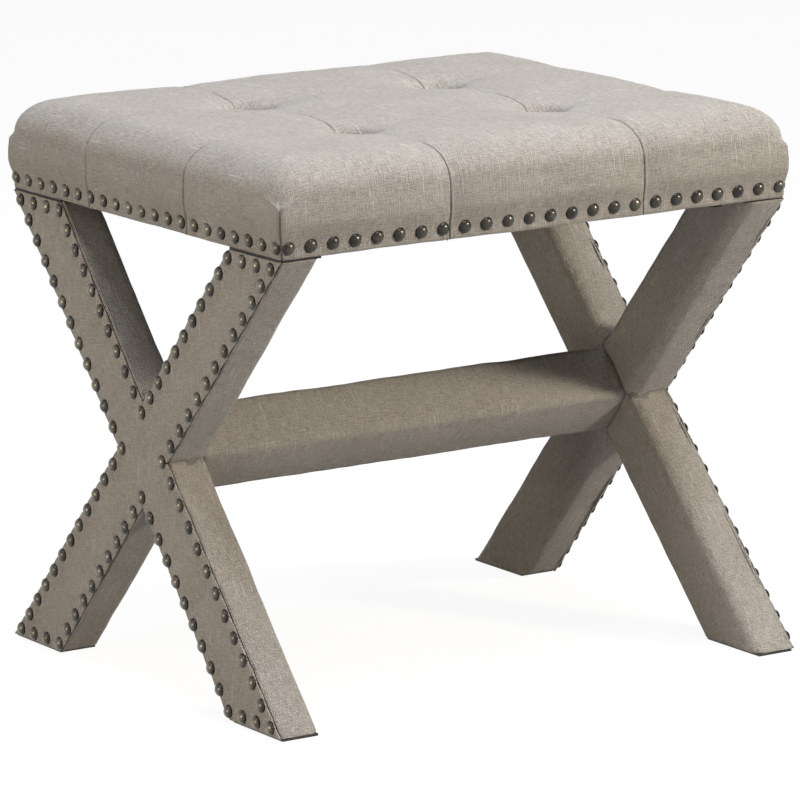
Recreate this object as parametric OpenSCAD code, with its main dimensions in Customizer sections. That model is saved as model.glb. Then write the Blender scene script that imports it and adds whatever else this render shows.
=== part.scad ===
// Small tufted bench: a padded seat on two fabric-covered X frames, joined by a diamond stretcher.
// Millimetres. +X runs along the seat, -Y is the front and +Z is up.
// The origin is on the floor under the middle of the bench. The left end is the -X end.

/* [Seat] */
// Length of the seat along its bottom edge
seat_l = 468; // [440:1:560]
// Width of the seat along its bottom edge
seat_w = 410; // [380:1:480]
// Height of the seat's underside above the floor
seat_z = 372; // [320:1:440]
// Height of the seat's edge line above its underside
seat_h = 69; // [66:0.5:90]
// Height of a panel's middle above the edge line
crown_h = 4; // [1:0.5:8]
// How far the sides swell past the bottom edge
side_bulge = 5.5; // [1:0.5:8]
// Width of the rounded top edge
edge_round_w = 32; // [20:1:40]
// Height of the rounded top edge
edge_round_h = 26; // [12:1:28]
// Depth of the pinch where a crease crosses the top edge
edge_pinch = 2; // [0:0.5:5]
// Width of the hem turned under the seat
hem_w = 18; // [10:1:22]

/* [Tufts] */
// Distance of a tuft from the nearer end of the seat
tuft_in_l = 144; // [124:1:170]
// Distance of a tuft from the nearer long edge of the seat
tuft_in_w = 130; // [115:1:150]
// Thickness of the foam left under a tuft
tuft_foam = 4.4; // [2:0.1:10]
// Width of the funnel around a tuft's flat
funnel_w = 15; // [10:1:20]
// Depth of the shallow dish around a funnel
dish_depth = 6; // [0:0.5:8]
// Width of the shallow dish around a tuft's flat
dish_w = 48; // [36:1:56]
// Width of a crease on the sides
crease_w = 11; // [6:1:16]
// Diameter of a covered button
button_d = 16; // [12:0.5:20]
// Height of a covered button
button_h = 6; // [4:0.5:8]
// Room between a button and the funnel
button_room = 1; // [0.5:0.5:3]
// Diameter of the tufting twine
twine_d = 2; // [1.5:0.1:3]
// Diameter of the knot under a washer
knot_d = 5; // [4:0.5:7]
// Diameter of a twine washer
twine_washer_d = 24; // [18:1:30]
// Thickness of a twine washer
twine_washer_t = 1.5; // [1:0.1:2.5]

/* [Fabric and padding] */
// Thickness of the linen
linen_t = 1.5; // [1:0.1:2]
// Thickness of the batting over the foam
batting_t = 4; // [2:0.5:5]
// Thickness of the batting over the rails
side_pad = 3; // [2:0.5:5]
// Thickness of the dust cover under the seat
dust_t = 1; // [0.8:0.1:2]
// Distance from the seat's edge to the dust cover
dust_inset = 6; // [3:0.5:12]
// Gap between soft pieces
soft_gap = 0.3; // [0.2:0.05:0.4]

/* [Seat frame] */
// Height of a rail
rail_h = 28; // [24:1:31]
// Thickness of a rail
rail_t = 20; // [18:1:24]
// Width of a cleat
cleat_w = 40; // [36:1:46]
// Thickness of the plywood board
board_t = 9; // [7:0.5:10]
// Diameter of a tuft hole in the board
tuft_hole_d = 8; // [6:0.5:12]
// Length of a wood screw
screw_l = 30; // [24:1:36]
// Diameter of a wood screw
screw_d = 4; // [3:0.1:5]
// Diameter of a wood screw's head
screw_head_d = 8; // [7:0.5:10]
// Height of a wood screw's head
screw_head_h = 3; // [2:0.5:4]

/* [X frames] */
// Distance from the seat's long edge in to a leg's outer top corner
top_set_in = 0.5; // [0:0.5:6]
// How much further out a foot stands than the same leg's top corner
foot_reach = 4; // [0:0.5:12]
// Width of a leg, measured level
leg_level_w = 77; // [66:1:88]
// Depth of a leg along the seat
leg_d = 38; // [32:1:44]
// How much further out a frame stands at the floor than at the seat
splay = 8.7; // [2:0.1:14]
// How far a frame's outer face stands proud of the seat's bottom edge
face_proud = 0.7; // [0:0.1:4]
// Radius of a leg's inner edges
leg_round = 10; // [7:0.5:14]
// Thickness of the padding on a leg's sides
leg_side_pad = 1; // [0.6:0.1:2]
// Thickness of the padding on a leg's inner face
leg_inner_pad = 3; // [2:0.5:4]
// Thickness of a foot glide
glide_t = 2; // [1:0.5:4]
// Distance from a foot's edge to its glide
glide_inset = 3; // [1:0.5:6]
// Diameter of a screw in the lap joint
lap_screw_d = 4; // [3:0.1:5]
// Distance of a lap screw from the crossing
lap_screw_reach = 18; // [15:0.5:22]

/* [Stretcher] */
// Height of the stretcher
stretcher_h = 68; // [56:1:74]
// Width of the stretcher
stretcher_w = 61; // [50:1:66]
// Radius of the stretcher's ridges
ridge_round = 8; // [5:0.5:10]
// Thickness of the stretcher's padding
stretcher_pad = 4; // [2:0.5:6]
// Radius of the ridges of the stretcher's wooden core
core_round = 2.5; // [1:0.5:4]
// Diameter of the stretcher bolts
bolt_d = 8; // [6:0.5:9]
// Length of the stretcher bolts under their heads
bolt_l = 72; // [64:1:80]
// Size across the flats of a bolt head
bolt_head_w = 13; // [11:0.5:15]
// Height of a bolt head
bolt_head_h = 5; // [4:0.5:6]
// Diameter of a bolt washer
bolt_washer_d = 18; // [16:0.5:22]
// Thickness of a bolt washer
bolt_washer_t = 1.6; // [1:0.1:2.5]
// Diameter of a barrel nut
barrel_d = 14; // [12:0.5:16]
// Length of a barrel nut
barrel_l = 22; // [18:1:26]
// Diameter of a dowel
dowel_d = 6; // [5:0.5:8]
// Length of a dowel
dowel_l = 32; // [26:1:38]
// Distance of a dowel from the bolt
dowel_reach = 13; // [11:0.5:15]

/* [Brackets] */
// Thickness of a bracket, a flat plate between a leg and the seat
bracket_t = 2; // [1.5:0.1:3]
// Distance from a leg's edges to the bracket's edges
bracket_inset = 1.5; // [1:0.5:4]
// Reach of a bracket's tab past the leg's inner face
bracket_reach = 20; // [18:1:28]
// Length of a bracket's tab
bracket_l = 46; // [40:1:52]
// Distance from a leg's outer top corner to the middle of the tab
bracket_set_in = 38; // [36:1:42]
// Distance from a tab's inner end to its first screw
bracket_screw_end = 9; // [8:0.5:11]
// Distance between a tab's two screws
bracket_screw_pitch = 22; // [18:0.5:24]
// Length of a tab's screw under its head
bracket_screw_l = 22; // [16:1:26]
// Diameter of a tab's screw
bracket_screw_d = 6; // [5:0.5:7]
// Size across the flats of a tab screw's head
bracket_head_w = 12; // [9:0.5:13]
// Height of a tab screw's head
bracket_head_h = 5; // [3:0.5:6]
// Diameter of a bolt that holds a bracket on its leg
bracket_bolt_d = 5; // [4:0.5:6]
// Length of a bolt that holds a bracket on its leg
bracket_bolt_l = 28; // [20:1:31]
// Distance between a bracket's two bolts
bracket_bolt_pitch = 22; // [16:1:24]

/* [Nails and staples] */
// Diameter of a nail head
nail_d = 11.2; // [9:0.1:13]
// Height of a nail head
nail_h = 3.8; // [2.5:0.1:5]
// Distance between nails
nail_pitch = 20; // [17:0.5:26]
// Distance from the seat's bottom edge to the nails
seat_nail_up = 8; // [6.5:0.5:11]
// Distance from a corner of the seat to its first nail
seat_nail_end = 6.5; // [6:0.5:12]
// Distance from a leg's edge to the nails
leg_nail_inset = 5.7; // [5:0.1:9]
// Distance from a leg's end to the nails
leg_nail_end = 6.5; // [6:0.5:12]
// Diameter of a nail's shank
shank_d = 1.5; // [1:0.1:2]
// Length of a nail's shank
shank_l = 12; // [8:0.5:14]
// Distance between staples
staple_pitch = 60; // [40:1:90]
// Width of a staple
staple_w = 10; // [8:0.5:13]
// Thickness of a staple's wire
staple_wire = 1; // [0.7:0.1:1.4]
// Length of a staple's legs
staple_leg = 7; // [5:0.5:9]

/* [Hidden] */
$fn = 48;

// Added to a bore's diameter, and run past a cut's faces
bore_room = 0.2;
overrun = 5;

LINEN = "#b9b3a8";
PINE = "#d8b784";
PLYWOOD = "#c9a26b";
FOAM = "#efe3b0";
BATTING = "#f2f2ee";
BLACK = "#232323";
STEEL = "#8d9096";
BRONZE = "#5d5344";
BEECH = "#dcc39a";

half_l = seat_l / 2;
half_w = seat_w / 2;
tuft_x = half_l - tuft_in_l;
tuft_y = half_w - tuft_in_w;

// Heights inside the seat
rail_z = seat_z + linen_t;
board_z = rail_z + rail_h;
board_top = board_z + board_t;
edge_z = seat_z + seat_h;

// The rounded edge ends above the foam's underside, however low the seat is
foam_rim = 2 * linen_t;
side_h = max(seat_h - edge_round_h, board_top - seat_z + foam_rim);
edge_drop = seat_h - side_h;
tuft_z = board_top + tuft_foam + batting_t + linen_t + 2 * soft_gap;
tuft_depth = edge_z - tuft_z;
rail_half_l = half_l - linen_t - side_pad;
rail_half_w = half_w - linen_t - side_pad;
dust_z = seat_z - dust_t;
base_top = dust_z - bracket_t;

// The padded form: every surface of it is one grid over the top and rings down the sides
flat_half = button_d / 2 + button_room;
arc_share = sin(50);
crease_depth_share = 0.6;
pillow_power_share = 0.5;
funnel_power_share = 1.2;
dish_power_share = 1.5;
corner_drop_share = 1.5;
side_crease_share = 0.55;
level_shares = [0.75, 0.5, 0.28];
bulge_shares = [[0, 0], [0.28, 0], [0.5, 0.8], [0.75, 1], [1, 0.8]];

function half_lines(half, t, round_w) =
    let (near = flat_half + funnel_w, inner = half - round_w)
    [0, t - near, t - flat_half, t, t + flat_half, t + near, inner, inner + round_w * arc_share, half];
function both_sides(list) = concat([for (i = [len(list) - 1:-1:1]) -list[i]], list);

function pillow(p, t, half) = let (q = abs(p))
    pow(max(0, q < t ? cos(90 * q / t) : sin(180 * (q - t) / (half - t))), pillow_power_share);
function crease(p, t) = exp(-pow((abs(p) - t) / crease_w, 2));
function past_flat(x, y) = let (dx = abs(x) - tuft_x, dy = abs(y) - tuft_y)
    max(0, sqrt(dx * dx + dy * dy) - flat_half * sqrt(2));
function funnel(x, y) = exp(-pow(past_flat(x, y) / (funnel_w / 2), funnel_power_share));
function dish(x, y) = dish_depth * pow(max(0, 1 - past_flat(x, y) / dish_w), dish_power_share);
function edge_share(p, half, round_w) = max(0, (abs(p) - half + round_w) / round_w);
function drop_share(ex, ey) = let (e = pow(pow(ex, 4) + pow(ey, 4), 1 / 4))
    e < 1 ? 1 - sqrt(1 - e * e) : 1 + (e - 1) * corner_drop_share;
function taper(share) = 1 - pow(abs(share), 8);
function swell(bulge, level, p, t, half) =
    bulge * lookup(level, bulge_shares) * taper(p / half) * (1 - side_crease_share * crease(p, t));

// Height of the form over a place on its top, for a surface that lies inset below the outside
function top_z(x, y, inset) =
    let (pull = funnel(x, y), dip = dish(x, y), ex = edge_share(x, half_l - inset, edge_round_w - inset),
        ey = edge_share(y, half_w - inset, edge_round_w - inset),
        across = 1 - crease_depth_share * (1 - pillow(x, tuft_x, half_l)),
        along = 1 - crease_depth_share * (1 - pillow(y, tuft_y, half_w)))
    edge_z - inset + crown_h * (1 - pull) * across * along - dip - (tuft_depth - dip) * pull
    - (edge_drop - inset) * drop_share(ex, ey)
    - edge_pinch * (crease(x, tuft_x) * ey * ey + crease(y, tuft_y) * ex * ex);

function top_point(x, y, inset, bulge) =
    let (ex = edge_share(x, half_l - inset, edge_round_w - inset),
        ey = edge_share(y, half_w - inset, edge_round_w - inset))
    [x + sign(x) * ex * swell(bulge, 1, y, tuft_y, half_w - inset),
        y + sign(y) * ey * swell(bulge, 1, x, tuft_x, half_l - inset), top_z(x, y, inset)];

function top_grid(inset, bulge) =
    let (xs = both_sides(half_lines(half_l - inset, tuft_x, edge_round_w - inset)),
        ys = both_sides(half_lines(half_w - inset, tuft_y, edge_round_w - inset)))
    [for (y = ys) for (x = xs) top_point(x, y, inset, bulge)];

lines = 2 * len(half_lines(half_l, tuft_x, edge_round_w)) - 1;
columns = 4 * (lines - 1);

// Grid line numbers of a column on the form's sides, counted round from the front left corner
function column_i(k) = let (side = floor(k / (lines - 1)), step = k % (lines - 1))
    side == 0 ? step : side == 1 ? lines - 1 : side == 2 ? lines - 1 - step : 0;
function column_j(k) = let (side = floor(k / (lines - 1)), step = k % (lines - 1))
    side == 0 ? 0 : side == 1 ? step : side == 2 ? lines - 1 : lines - 1 - step;
function column_index(k) = let (c = k % columns) column_i(c) + lines * column_j(c);

// A ring of the form: level is its share of the side's height, and z its height
function ring(inset, bulge, level, z) =
    let (xs = both_sides(half_lines(half_l - inset, tuft_x, edge_round_w - min(inset, edge_round_w / 2))),
        ys = both_sides(half_lines(half_w - inset, tuft_y, edge_round_w - min(inset, edge_round_w / 2))))
    [for (k = [0:columns - 1])
        let (x = xs[column_i(k)], y = ys[column_j(k)], on_x = abs(x) >= half_l - inset,
            on_y = abs(y) >= half_w - inset)
        [x + (on_x ? sign(x) * swell(bulge, level, y, tuft_y, half_w - inset) : 0),
            y + (on_y ? sign(y) * swell(bulge, level, x, tuft_x, half_l - inset) : 0), z]];
function side_rings(inset, bulge, low) =
    [for (level = level_shares) if (seat_z + side_h * level > low)
        ring(inset, bulge, level, seat_z + side_h * level)];
function reversed(list) = [for (i = [len(list) - 1:-1:0]) list[i]];
function flat(lists) = [for (list = lists) for (item = list) item];

// Each square of the grid is split along the diagonal that runs around its nearest tuft
function grid_faces(points, start, up) = flat([for (j = [0:lines - 2]) for (i = [0:lines - 2])
    let (p = i + lines * j, a = start + p, b = a + 1, d = a + lines, c = d + 1,
        middle = (points[p] + points[p + lines + 1]) / 2,
        past = (abs(middle[0]) - tuft_x) * (abs(middle[1]) - tuft_y) * sign(middle[0] * middle[1]),
        tops = past < 0 ? [[a, d, c], [a, c, b]] : [[a, d, b], [b, d, c]])
    up ? tops : [for (t = tops) [t[0], t[2], t[1]]]]);
// Bands that fall and bands that rise are split the same way on the wall, so nested skins stay apart
function band_faces(from, to, rising) = flat([for (k = [0:columns - 1])
    let (n = (k + 1) % columns)
    rising ? [[from[k], from[n], to[k]], [from[n], to[n], to[k]]]
        : [[from[k], from[n], to[n]], [from[k], to[n], to[k]]]]);
function bands(chain, rings) = flat([for (r = [0:len(chain) - 2])
    band_faces(chain[r], chain[r + 1],
        r > 0 && (r == len(rings) || rings[r][0][2] > rings[r - 1][0][2]))]);
function ring_indices(first, rings) =
    [for (r = [0:len(rings) - 1]) [for (k = [0:columns - 1]) first + columns * r + k]];
edge_indices = [for (k = [0:columns - 1]) column_index(k)];

// A shell: an outer top, a chain of rings down the sides and back up the inside, and an inner top
module padded_shell(outer_inset, outer_bulge, inner_inset, inner_bulge, rings) {
    outer = top_grid(outer_inset, outer_bulge);
    inner = top_grid(inner_inset, inner_bulge);
    first = len(outer);
    last = first + columns * len(rings);
    chain = concat([edge_indices], ring_indices(first, rings), [[for (k = edge_indices) last + k]]);
    faces = concat(grid_faces(outer, 0, true), bands(chain, rings), grid_faces(outer, last, false));
    polyhedron(concat(outer, flat(rings), inner), faces, convexity = 10);
}

// A solid: an outer top, rings down the sides and a flat underside
module padded_solid(inset, bulge, rings) {
    outer = top_grid(inset, bulge);
    first = len(outer);
    last = first + columns * len(rings);
    chain = concat([edge_indices], ring_indices(first, rings));
    bottom = chain[len(chain) - 1];
    faces = concat(grid_faces(outer, 0, true), bands(chain, rings),
        [for (k = [0:columns - 1]) [bottom[k], bottom[(k + 1) % columns], last]]);
    polyhedron(concat(outer, flat(rings), [[0, 0, rings[len(rings) - 1][0][2]]]), faces, convexity = 10);
}

module at_tufts() {
    for (x = [-tuft_x, tuft_x])
        for (y = [-tuft_y, tuft_y])
            translate([x, y, 0]) children();
}

module twine_bores(room) {
    at_tufts() translate([0, 0, board_z]) cylinder(h = seat_h, d = twine_d + room);
}

module seat_cover() {
    low = seat_z + linen_t;
    rings = concat(side_rings(0, side_bulge, seat_z),
        [ring(0, side_bulge, 0, seat_z), ring(hem_w, 0, 0, seat_z), ring(hem_w, 0, 0, low),
            ring(linen_t, side_bulge, 0, low)],
        reversed(side_rings(linen_t, side_bulge, low)));
    color(LINEN) difference() {
        padded_shell(0, side_bulge, linen_t, side_bulge, rings);
        twine_bores(bore_room);
    }
}

module seat_batting() {
    outer = linen_t + soft_gap;
    inner = outer + batting_t;
    rails = linen_t + side_pad - soft_gap;
    low = rail_z + soft_gap;
    step = board_top + soft_gap;
    rings = concat(side_rings(outer, side_bulge, low),
        [ring(outer, 0, 0, low), ring(rails, 0, 0, low), ring(rails, 0, 0, step), ring(inner, 0, 0, step)]);
    color(BATTING) difference() {
        padded_shell(outer, side_bulge, inner, 0, rings);
        twine_bores(bore_room);
    }
}

module seat_foam() {
    color(FOAM) difference() {
        padded_solid(linen_t + 2 * soft_gap + batting_t, 0,
            [ring(linen_t + 2 * soft_gap + batting_t, 0, 0, board_top)]);
        twine_bores(bore_room);
    }
}

module tuft_buttons() {
    ball = (pow(button_d / 2, 2) + pow(button_h, 2)) / (2 * button_h);
    color(LINEN) at_tufts() translate([0, 0, tuft_z]) intersection() {
        translate([0, 0, button_h - ball]) sphere(r = ball);
        cylinder(h = button_h, d = button_d);
    }
}

module tuft_twine() {
    low = board_z - twine_washer_t;
    color("ivory") at_tufts() {
        translate([0, 0, low]) cylinder(h = tuft_z - low, d = twine_d);
        translate([0, 0, low - knot_d / 2]) sphere(d = knot_d);
        translate([0, 0, low - knot_d / 2]) cylinder(h = knot_d / 2, d = twine_d);
    }
}

module tuft_washers() {
    color(STEEL) at_tufts() translate([0, 0, board_z - twine_washer_t]) difference() {
        cylinder(h = twine_washer_t, d = twine_washer_d);
        translate([0, 0, -overrun]) cylinder(h = twine_washer_t + 2 * overrun, d = twine_d + bore_room);
    }
}

// Countersunk screws: the head's top is at the origin and the screw runs down
module sunk_screw(length, d, room) {
    translate([0, 0, -length]) cylinder(h = length, d = d + room);
    translate([0, 0, -screw_head_h])
        cylinder(h = screw_head_h, d1 = d + room, d2 = screw_head_d + room);
}

module at_rail_screws() {
    for (x = [-1, 1])
        for (y = [-1, 1])
            for (z = [rail_z + rail_h / 4, rail_z + rail_h * 3 / 4])
                translate([x * (rail_half_l - rail_t / 2), y * rail_half_w, z]) rotate([-90 * y, 0, 0])
                    children();
}

module at_board_screws() {
    for (x = [-1, 0, 1])
        for (y = [-1, 1])
            translate([x * (rail_half_l - 2 * rail_t), y * (rail_half_w - rail_t / 2), board_top]) children();
}

module rail_screws() {
    color(STEEL) at_rail_screws() sunk_screw(screw_l, screw_d, 0);
}

module board_screws() {
    color(STEEL) at_board_screws() sunk_screw(screw_l, screw_d, 0);
}

module long_rail(side) {
    color(PINE) difference() {
        translate([-rail_half_l, side > 0 ? rail_half_w - rail_t : -rail_half_w, rail_z])
            cube([2 * rail_half_l, rail_t, rail_h]);
        at_rail_screws() sunk_screw(screw_l, screw_d, bore_room);
        at_board_screws() sunk_screw(screw_l, screw_d, bore_room);
    }
}

module short_rail(side) {
    color(PINE) difference() {
        translate([side > 0 ? rail_half_l - rail_t : -rail_half_l, rail_t - rail_half_w, rail_z])
            cube([rail_t, 2 * (rail_half_w - rail_t), rail_h]);
        at_rail_screws() sunk_screw(screw_l, screw_d, bore_room);
    }
}

module front_rail() { long_rail(-1); }
module back_rail() { long_rail(1); }
module left_rail() { short_rail(-1); }
module right_rail() { short_rail(1); }

module seat_board() {
    color(PLYWOOD) difference() {
        translate([-rail_half_l, -rail_half_w, board_z]) cube([2 * rail_half_l, 2 * rail_half_w, board_t]);
        at_board_screws() sunk_screw(screw_l, screw_d, bore_room);
        at_tufts() translate([0, 0, board_z - overrun]) cylinder(h = board_t + 2 * overrun, d = tuft_hole_d);
    }
}

module cleat(x) {
    color(PINE) difference() {
        translate([x - cleat_w / 2, rail_t - rail_half_w, seat_z])
            cube([cleat_w, 2 * (rail_half_w - rail_t), board_z - seat_z]);
        at_bracket_screws(-1) bracket_screw(bore_room);
        at_bracket_screws(1) bracket_screw(bore_room);
    }
}

cleat_x = rail_half_l - rail_t - cleat_w / 2;
module left_cleat() { cleat(-cleat_x); }
module right_cleat() { cleat(cleat_x); }
module centre_cleat() { cleat(0); }

module dust_cover() {
    l = half_l - dust_inset;
    w = half_w - dust_inset;
    color(BLACK) difference() {
        translate([-l, -w, dust_z]) cube([2 * l, 2 * w, dust_t]);
        at_bracket_screws(-1) bracket_screw(bore_room);
        at_bracket_screws(1) bracket_screw(bore_room);
    }
}

module staple() {
    translate([-staple_w / 2, -staple_wire / 2, -staple_wire]) cube([staple_w, staple_wire, staple_wire]);
    for (x = [-staple_w / 2, staple_w / 2 - staple_wire])
        translate([x, -staple_wire / 2, 0]) cube([staple_wire, staple_wire, staple_leg]);
}

// A row of places at about the given pitch, centred, over a length
function row(length, pitch) = let (n = max(1, round(length / pitch)))
    [for (i = [0:n]) length * (i / n - 1 / 2)];

module dust_cover_staples() {
    inset = (dust_inset + hem_w) / 2;
    open_l = 2 * (inner_face(base_top) - bracket_reach) - staple_pitch;
    open_w = top_spread - 2 * leg_level_w - staple_pitch;
    color(STEEL) {
        for (x = row(open_l, staple_pitch))
            for (y = [-1, 1])
                translate([x, y * (half_w - inset), dust_z]) staple();
        for (y = row(open_w, staple_pitch))
            for (x = [-1, 1])
                translate([x * (half_l - inset), y, dust_z]) rotate([0, 0, 90]) staple();
    }
}

// Domed nail: its head stands on the XY plane and its shank runs down
module nail(length) {
    ball = (pow(nail_d / 2, 2) + pow(nail_h, 2)) / (2 * nail_h);
    intersection() {
        translate([0, 0, nail_h - ball]) sphere(r = ball);
        cylinder(h = nail_h, d = nail_d);
    }
    translate([0, 0, -length]) cylinder(h = length, d = shank_d);
}

module long_seat_nails(side) {
    color(BRONZE) for (x = row(seat_l - 2 * seat_nail_end, nail_pitch))
        translate([x, side * half_w, seat_z + seat_nail_up]) rotate([-90 * side, 0, 0]) nail(shank_l);
}

// The end nails of a short side are clipped, so they stop short of the long side's shanks
module short_seat_nails(side) {
    places = row(seat_w - 2 * seat_nail_end, nail_pitch);
    clipped_l = seat_nail_end - shank_d;
    color(BRONZE) for (i = [0:len(places) - 1])
        translate([side * half_l, places[i], seat_z + seat_nail_up]) rotate([0, 90 * side, 0])
            nail(i == 0 || i == len(places) - 1 ? clipped_l : shank_l);
}

module front_seat_nails() { long_seat_nails(-1); }
module back_seat_nails() { long_seat_nails(1); }
module left_seat_nails() { short_seat_nails(-1); }
module right_seat_nails() { short_seat_nails(1); }

// The X frames are drawn upright with their outer face at x = 0, then leaned and cut level
top_spread = seat_w - 2 * top_set_in;
foot_spread = top_spread + 2 * foot_reach;
lean = atan(splay / base_top);
foot_c = (foot_spread - leg_level_w) / 2;
top_c = (top_spread - leg_level_w) / 2;
leg_angle = atan((foot_c + top_c) / base_top);
leg_w = leg_level_w * cos(leg_angle);
cross_z = base_top * foot_c / (foot_c + top_c);
foot_face = half_l + face_proud + splay;
wood_side = linen_t + leg_side_pad;
wood_inner = linen_t + leg_inner_pad;
lap_x = (linen_t + leg_d - wood_inner) / 2;

// Distance from the middle of the bench to a frame's inner face, at a height
function inner_face(z) = foot_face - leg_d / cos(lean) - z * tan(lean);

module on_side(side) {
    mirror([side > 0 ? 1 : 0, 0, 0]) children();
}

module leaned() {
    translate([-foot_face, 0, 0]) rotate([0, lean, 0]) children();
}

module level_cut(end_inset) {
    low = glide_t + end_inset;
    intersection() {
        leaned() children();
        translate([-foot_face - overrun, -foot_spread, low])
            cube([leg_d + splay + 2 * overrun, 2 * foot_spread, base_top - end_inset - low]);
    }
}

// A leg's section: x is its depth and y its width, with its two inner edges rounded
module leg_section(start, side_inset, inner_inset, round_r) {
    w = leg_w / 2 - side_inset;
    d = leg_d - inner_inset;
    polygon([[start, -w], [d - round_r, -w], [d, round_r - w], [d, w - round_r], [d - round_r, w],
        [start, w]]);
    for (y = [round_r - w, w - round_r])
        translate([d - round_r, y]) circle(r = round_r);
}

module leg_bar(tilt, start, side_inset, inner_inset, round_r) {
    translate([0, 0, cross_z]) rotate([-tilt * leg_angle, 0, 0]) translate([0, 0, -base_top])
        linear_extrude(2 * base_top) leg_section(start, side_inset, inner_inset, round_r);
}

module leg_bars(start, side_inset, inner_inset, round_r) {
    for (tilt = [-1, 1]) leg_bar(tilt, start, side_inset, inner_inset, round_r);
}

wood_round = leg_round - leg_side_pad - linen_t;
linen_round = leg_round - linen_t;

module leg_a(side) {
    color(PINE) on_side(side) difference() {
        level_cut(linen_t) difference() {
            leg_bar(1, linen_t, wood_side, wood_inner, wood_round);
            intersection() {
                leg_bar(-1, 0, wood_side, -overrun, wood_round);
                translate([lap_x, -foot_spread, 0]) cube([leg_d, 2 * foot_spread, base_top]);
            }
            lap_screw_bores();
        }
        leaned() stretcher_bores();
        at_bracket_bolts() sunk_screw(bracket_bolt_l, bracket_bolt_d, bore_room);
    }
}

module leg_b(side) {
    color(PINE) on_side(side) difference() {
        level_cut(linen_t) difference() {
            leg_bar(-1, linen_t, wood_side, wood_inner, wood_round);
            intersection() {
                leg_bar(1, -overrun, wood_side, wood_inner, wood_round);
                translate([lap_x - leg_d, -foot_spread, 0]) cube([leg_d, 2 * foot_spread, base_top]);
            }
            lap_screw_bores();
        }
        leaned() stretcher_bores();
        at_bracket_bolts() sunk_screw(bracket_bolt_l, bracket_bolt_d, bore_room);
    }
}

module base_padding(side) {
    color(BATTING) on_side(side) difference() {
        level_cut(linen_t) difference() {
            leg_bars(linen_t, linen_t, linen_t, linen_round);
            leg_bars(-overrun, wood_side, wood_inner, wood_round);
        }
        leaned() stretcher_bores();
    }
}

module base_cover(side) {
    color(LINEN) on_side(side) difference() {
        level_cut(0) leg_bars(linen_t, 0, 0, leg_round);
        level_cut(linen_t) leg_bars(-overrun, linen_t, linen_t, linen_round);
        leaned() stretcher_bores();
        at_bracket_bolts() sunk_screw(bracket_bolt_l, bracket_bolt_d, bore_room);
    }
}

module outer_panel(side) {
    color(LINEN) on_side(side) level_cut(0) {
        for (tilt = [-1, 1])
            translate([0, 0, cross_z]) rotate([-tilt * leg_angle, 0, 0])
                translate([0, -leg_w / 2, -base_top]) cube([linen_t, leg_w, 2 * base_top]);
    }
}

// The nail line runs inside the X outline. A corner is given as [y, z] in the leaned frame.
level_inset = leg_nail_inset / cos(leg_angle);
rise = (foot_c + top_c) / base_top;
side_crotch = leg_level_w / 2 - level_inset;
end_crotch = side_crotch / rise;
function middle_y(z) = (z - cross_z) * rise;
function end_z(up) = up > 0 ? base_top - leg_nail_end : glide_t + leg_nail_end;
function end_corner(y, up, out) = [y * (abs(middle_y(end_z(up))) + out * side_crotch), end_z(up)];
function between(a, b, share) = a + (b - a) * share;
function run(a, b, first, last) = let (n = round(norm(b - a) / nail_pitch))
    [for (i = [first:n - last]) between(a, b, i / n)];
function arm_points(y, up) =
    let (out = end_corner(y, up, 1), in = end_corner(y, up, -1), middle = [0, cross_z + up * end_crotch],
        waist = [y * side_crotch, cross_z])
    concat(run(waist, out, 1, 0), run(out, in, 1, 1), run(middle, in, 1, 0));
base_nail_points = concat([[side_crotch, cross_z], [-side_crotch, cross_z], [0, cross_z + end_crotch],
    [0, cross_z - end_crotch]], flat([for (y = [-1, 1]) for (up = [-1, 1]) arm_points(y, up)]));

module base_nails(side) {
    color(BRONZE) on_side(side) leaned() for (p = base_nail_points)
        translate([0, p[0], p[1]]) rotate([0, -90, 0]) nail(shank_l);
}

module foot_glides(side) {
    color(BLACK) on_side(side) for (y = [-1, 1])
        translate([glide_inset - foot_face, y * foot_c - leg_level_w / 2 + glide_inset, 0])
            cube([leg_d - 2 * glide_inset, leg_level_w - 2 * glide_inset, glide_t]);
}

// Lap screws run in from the outer face, above and below the crossing
module at_lap_screws() {
    for (reach = [-lap_screw_reach, lap_screw_reach])
        translate([linen_t, 0, cross_z + reach]) rotate([0, -90, 0]) children();
}

lap_screw_l = leg_d - wood_inner - linen_t - screw_head_h;

module lap_screw_bores() {
    at_lap_screws() sunk_screw(lap_screw_l, lap_screw_d, bore_room);
}

module lap_screws(side) {
    color(STEEL) on_side(side) leaned() at_lap_screws() sunk_screw(lap_screw_l, lap_screw_d, 0);
}

// Stretcher fixings, drawn in the leaned frame with the bolt's head sunk in the outer half of the lap
head_seat = linen_t + bolt_head_h + bolt_washer_t + bore_room;
barrel_x = head_seat + bolt_l - barrel_d / 2;
dowel_x = leg_d - dowel_l / 2;

module at_crossing(x) {
    translate([x, 0, cross_z]) rotate([0, 90, 0]) children();
}

module at_dowels() {
    for (y = [-dowel_reach, dowel_reach])
        translate([dowel_x, y, cross_z]) rotate([0, 90, 0]) children();
}

module stretcher_bores() {
    at_crossing(head_seat) cylinder(h = bolt_l + overrun, d = bolt_d + bore_room);
    at_crossing(linen_t - overrun) cylinder(h = head_seat - linen_t + overrun, d = bolt_washer_d + bore_room);
    at_dowels() translate([0, 0, -bore_room]) cylinder(h = dowel_l + 2 * bore_room, d = dowel_d + bore_room);
}

// The barrel nut drops into a hole bored up from a flat notch across the stretcher's lower ridge
module barrel_bore() {
    core_inset = linen_t + stretcher_pad;
    notch_half = (barrel_d + overrun) / 2;
    drop = (stretcher_h / 2 - core_inset) * (1 - notch_half / (stretcher_w / 2 - core_inset));
    translate([barrel_x - notch_half, -stretcher_w, cross_z - stretcher_h])
        cube([2 * notch_half, 2 * stretcher_w, stretcher_h - drop]);
    translate([barrel_x, 0, cross_z - stretcher_h])
        cylinder(h = stretcher_h + barrel_l / 2 + bore_room, d = barrel_d + bore_room);
}

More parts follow.
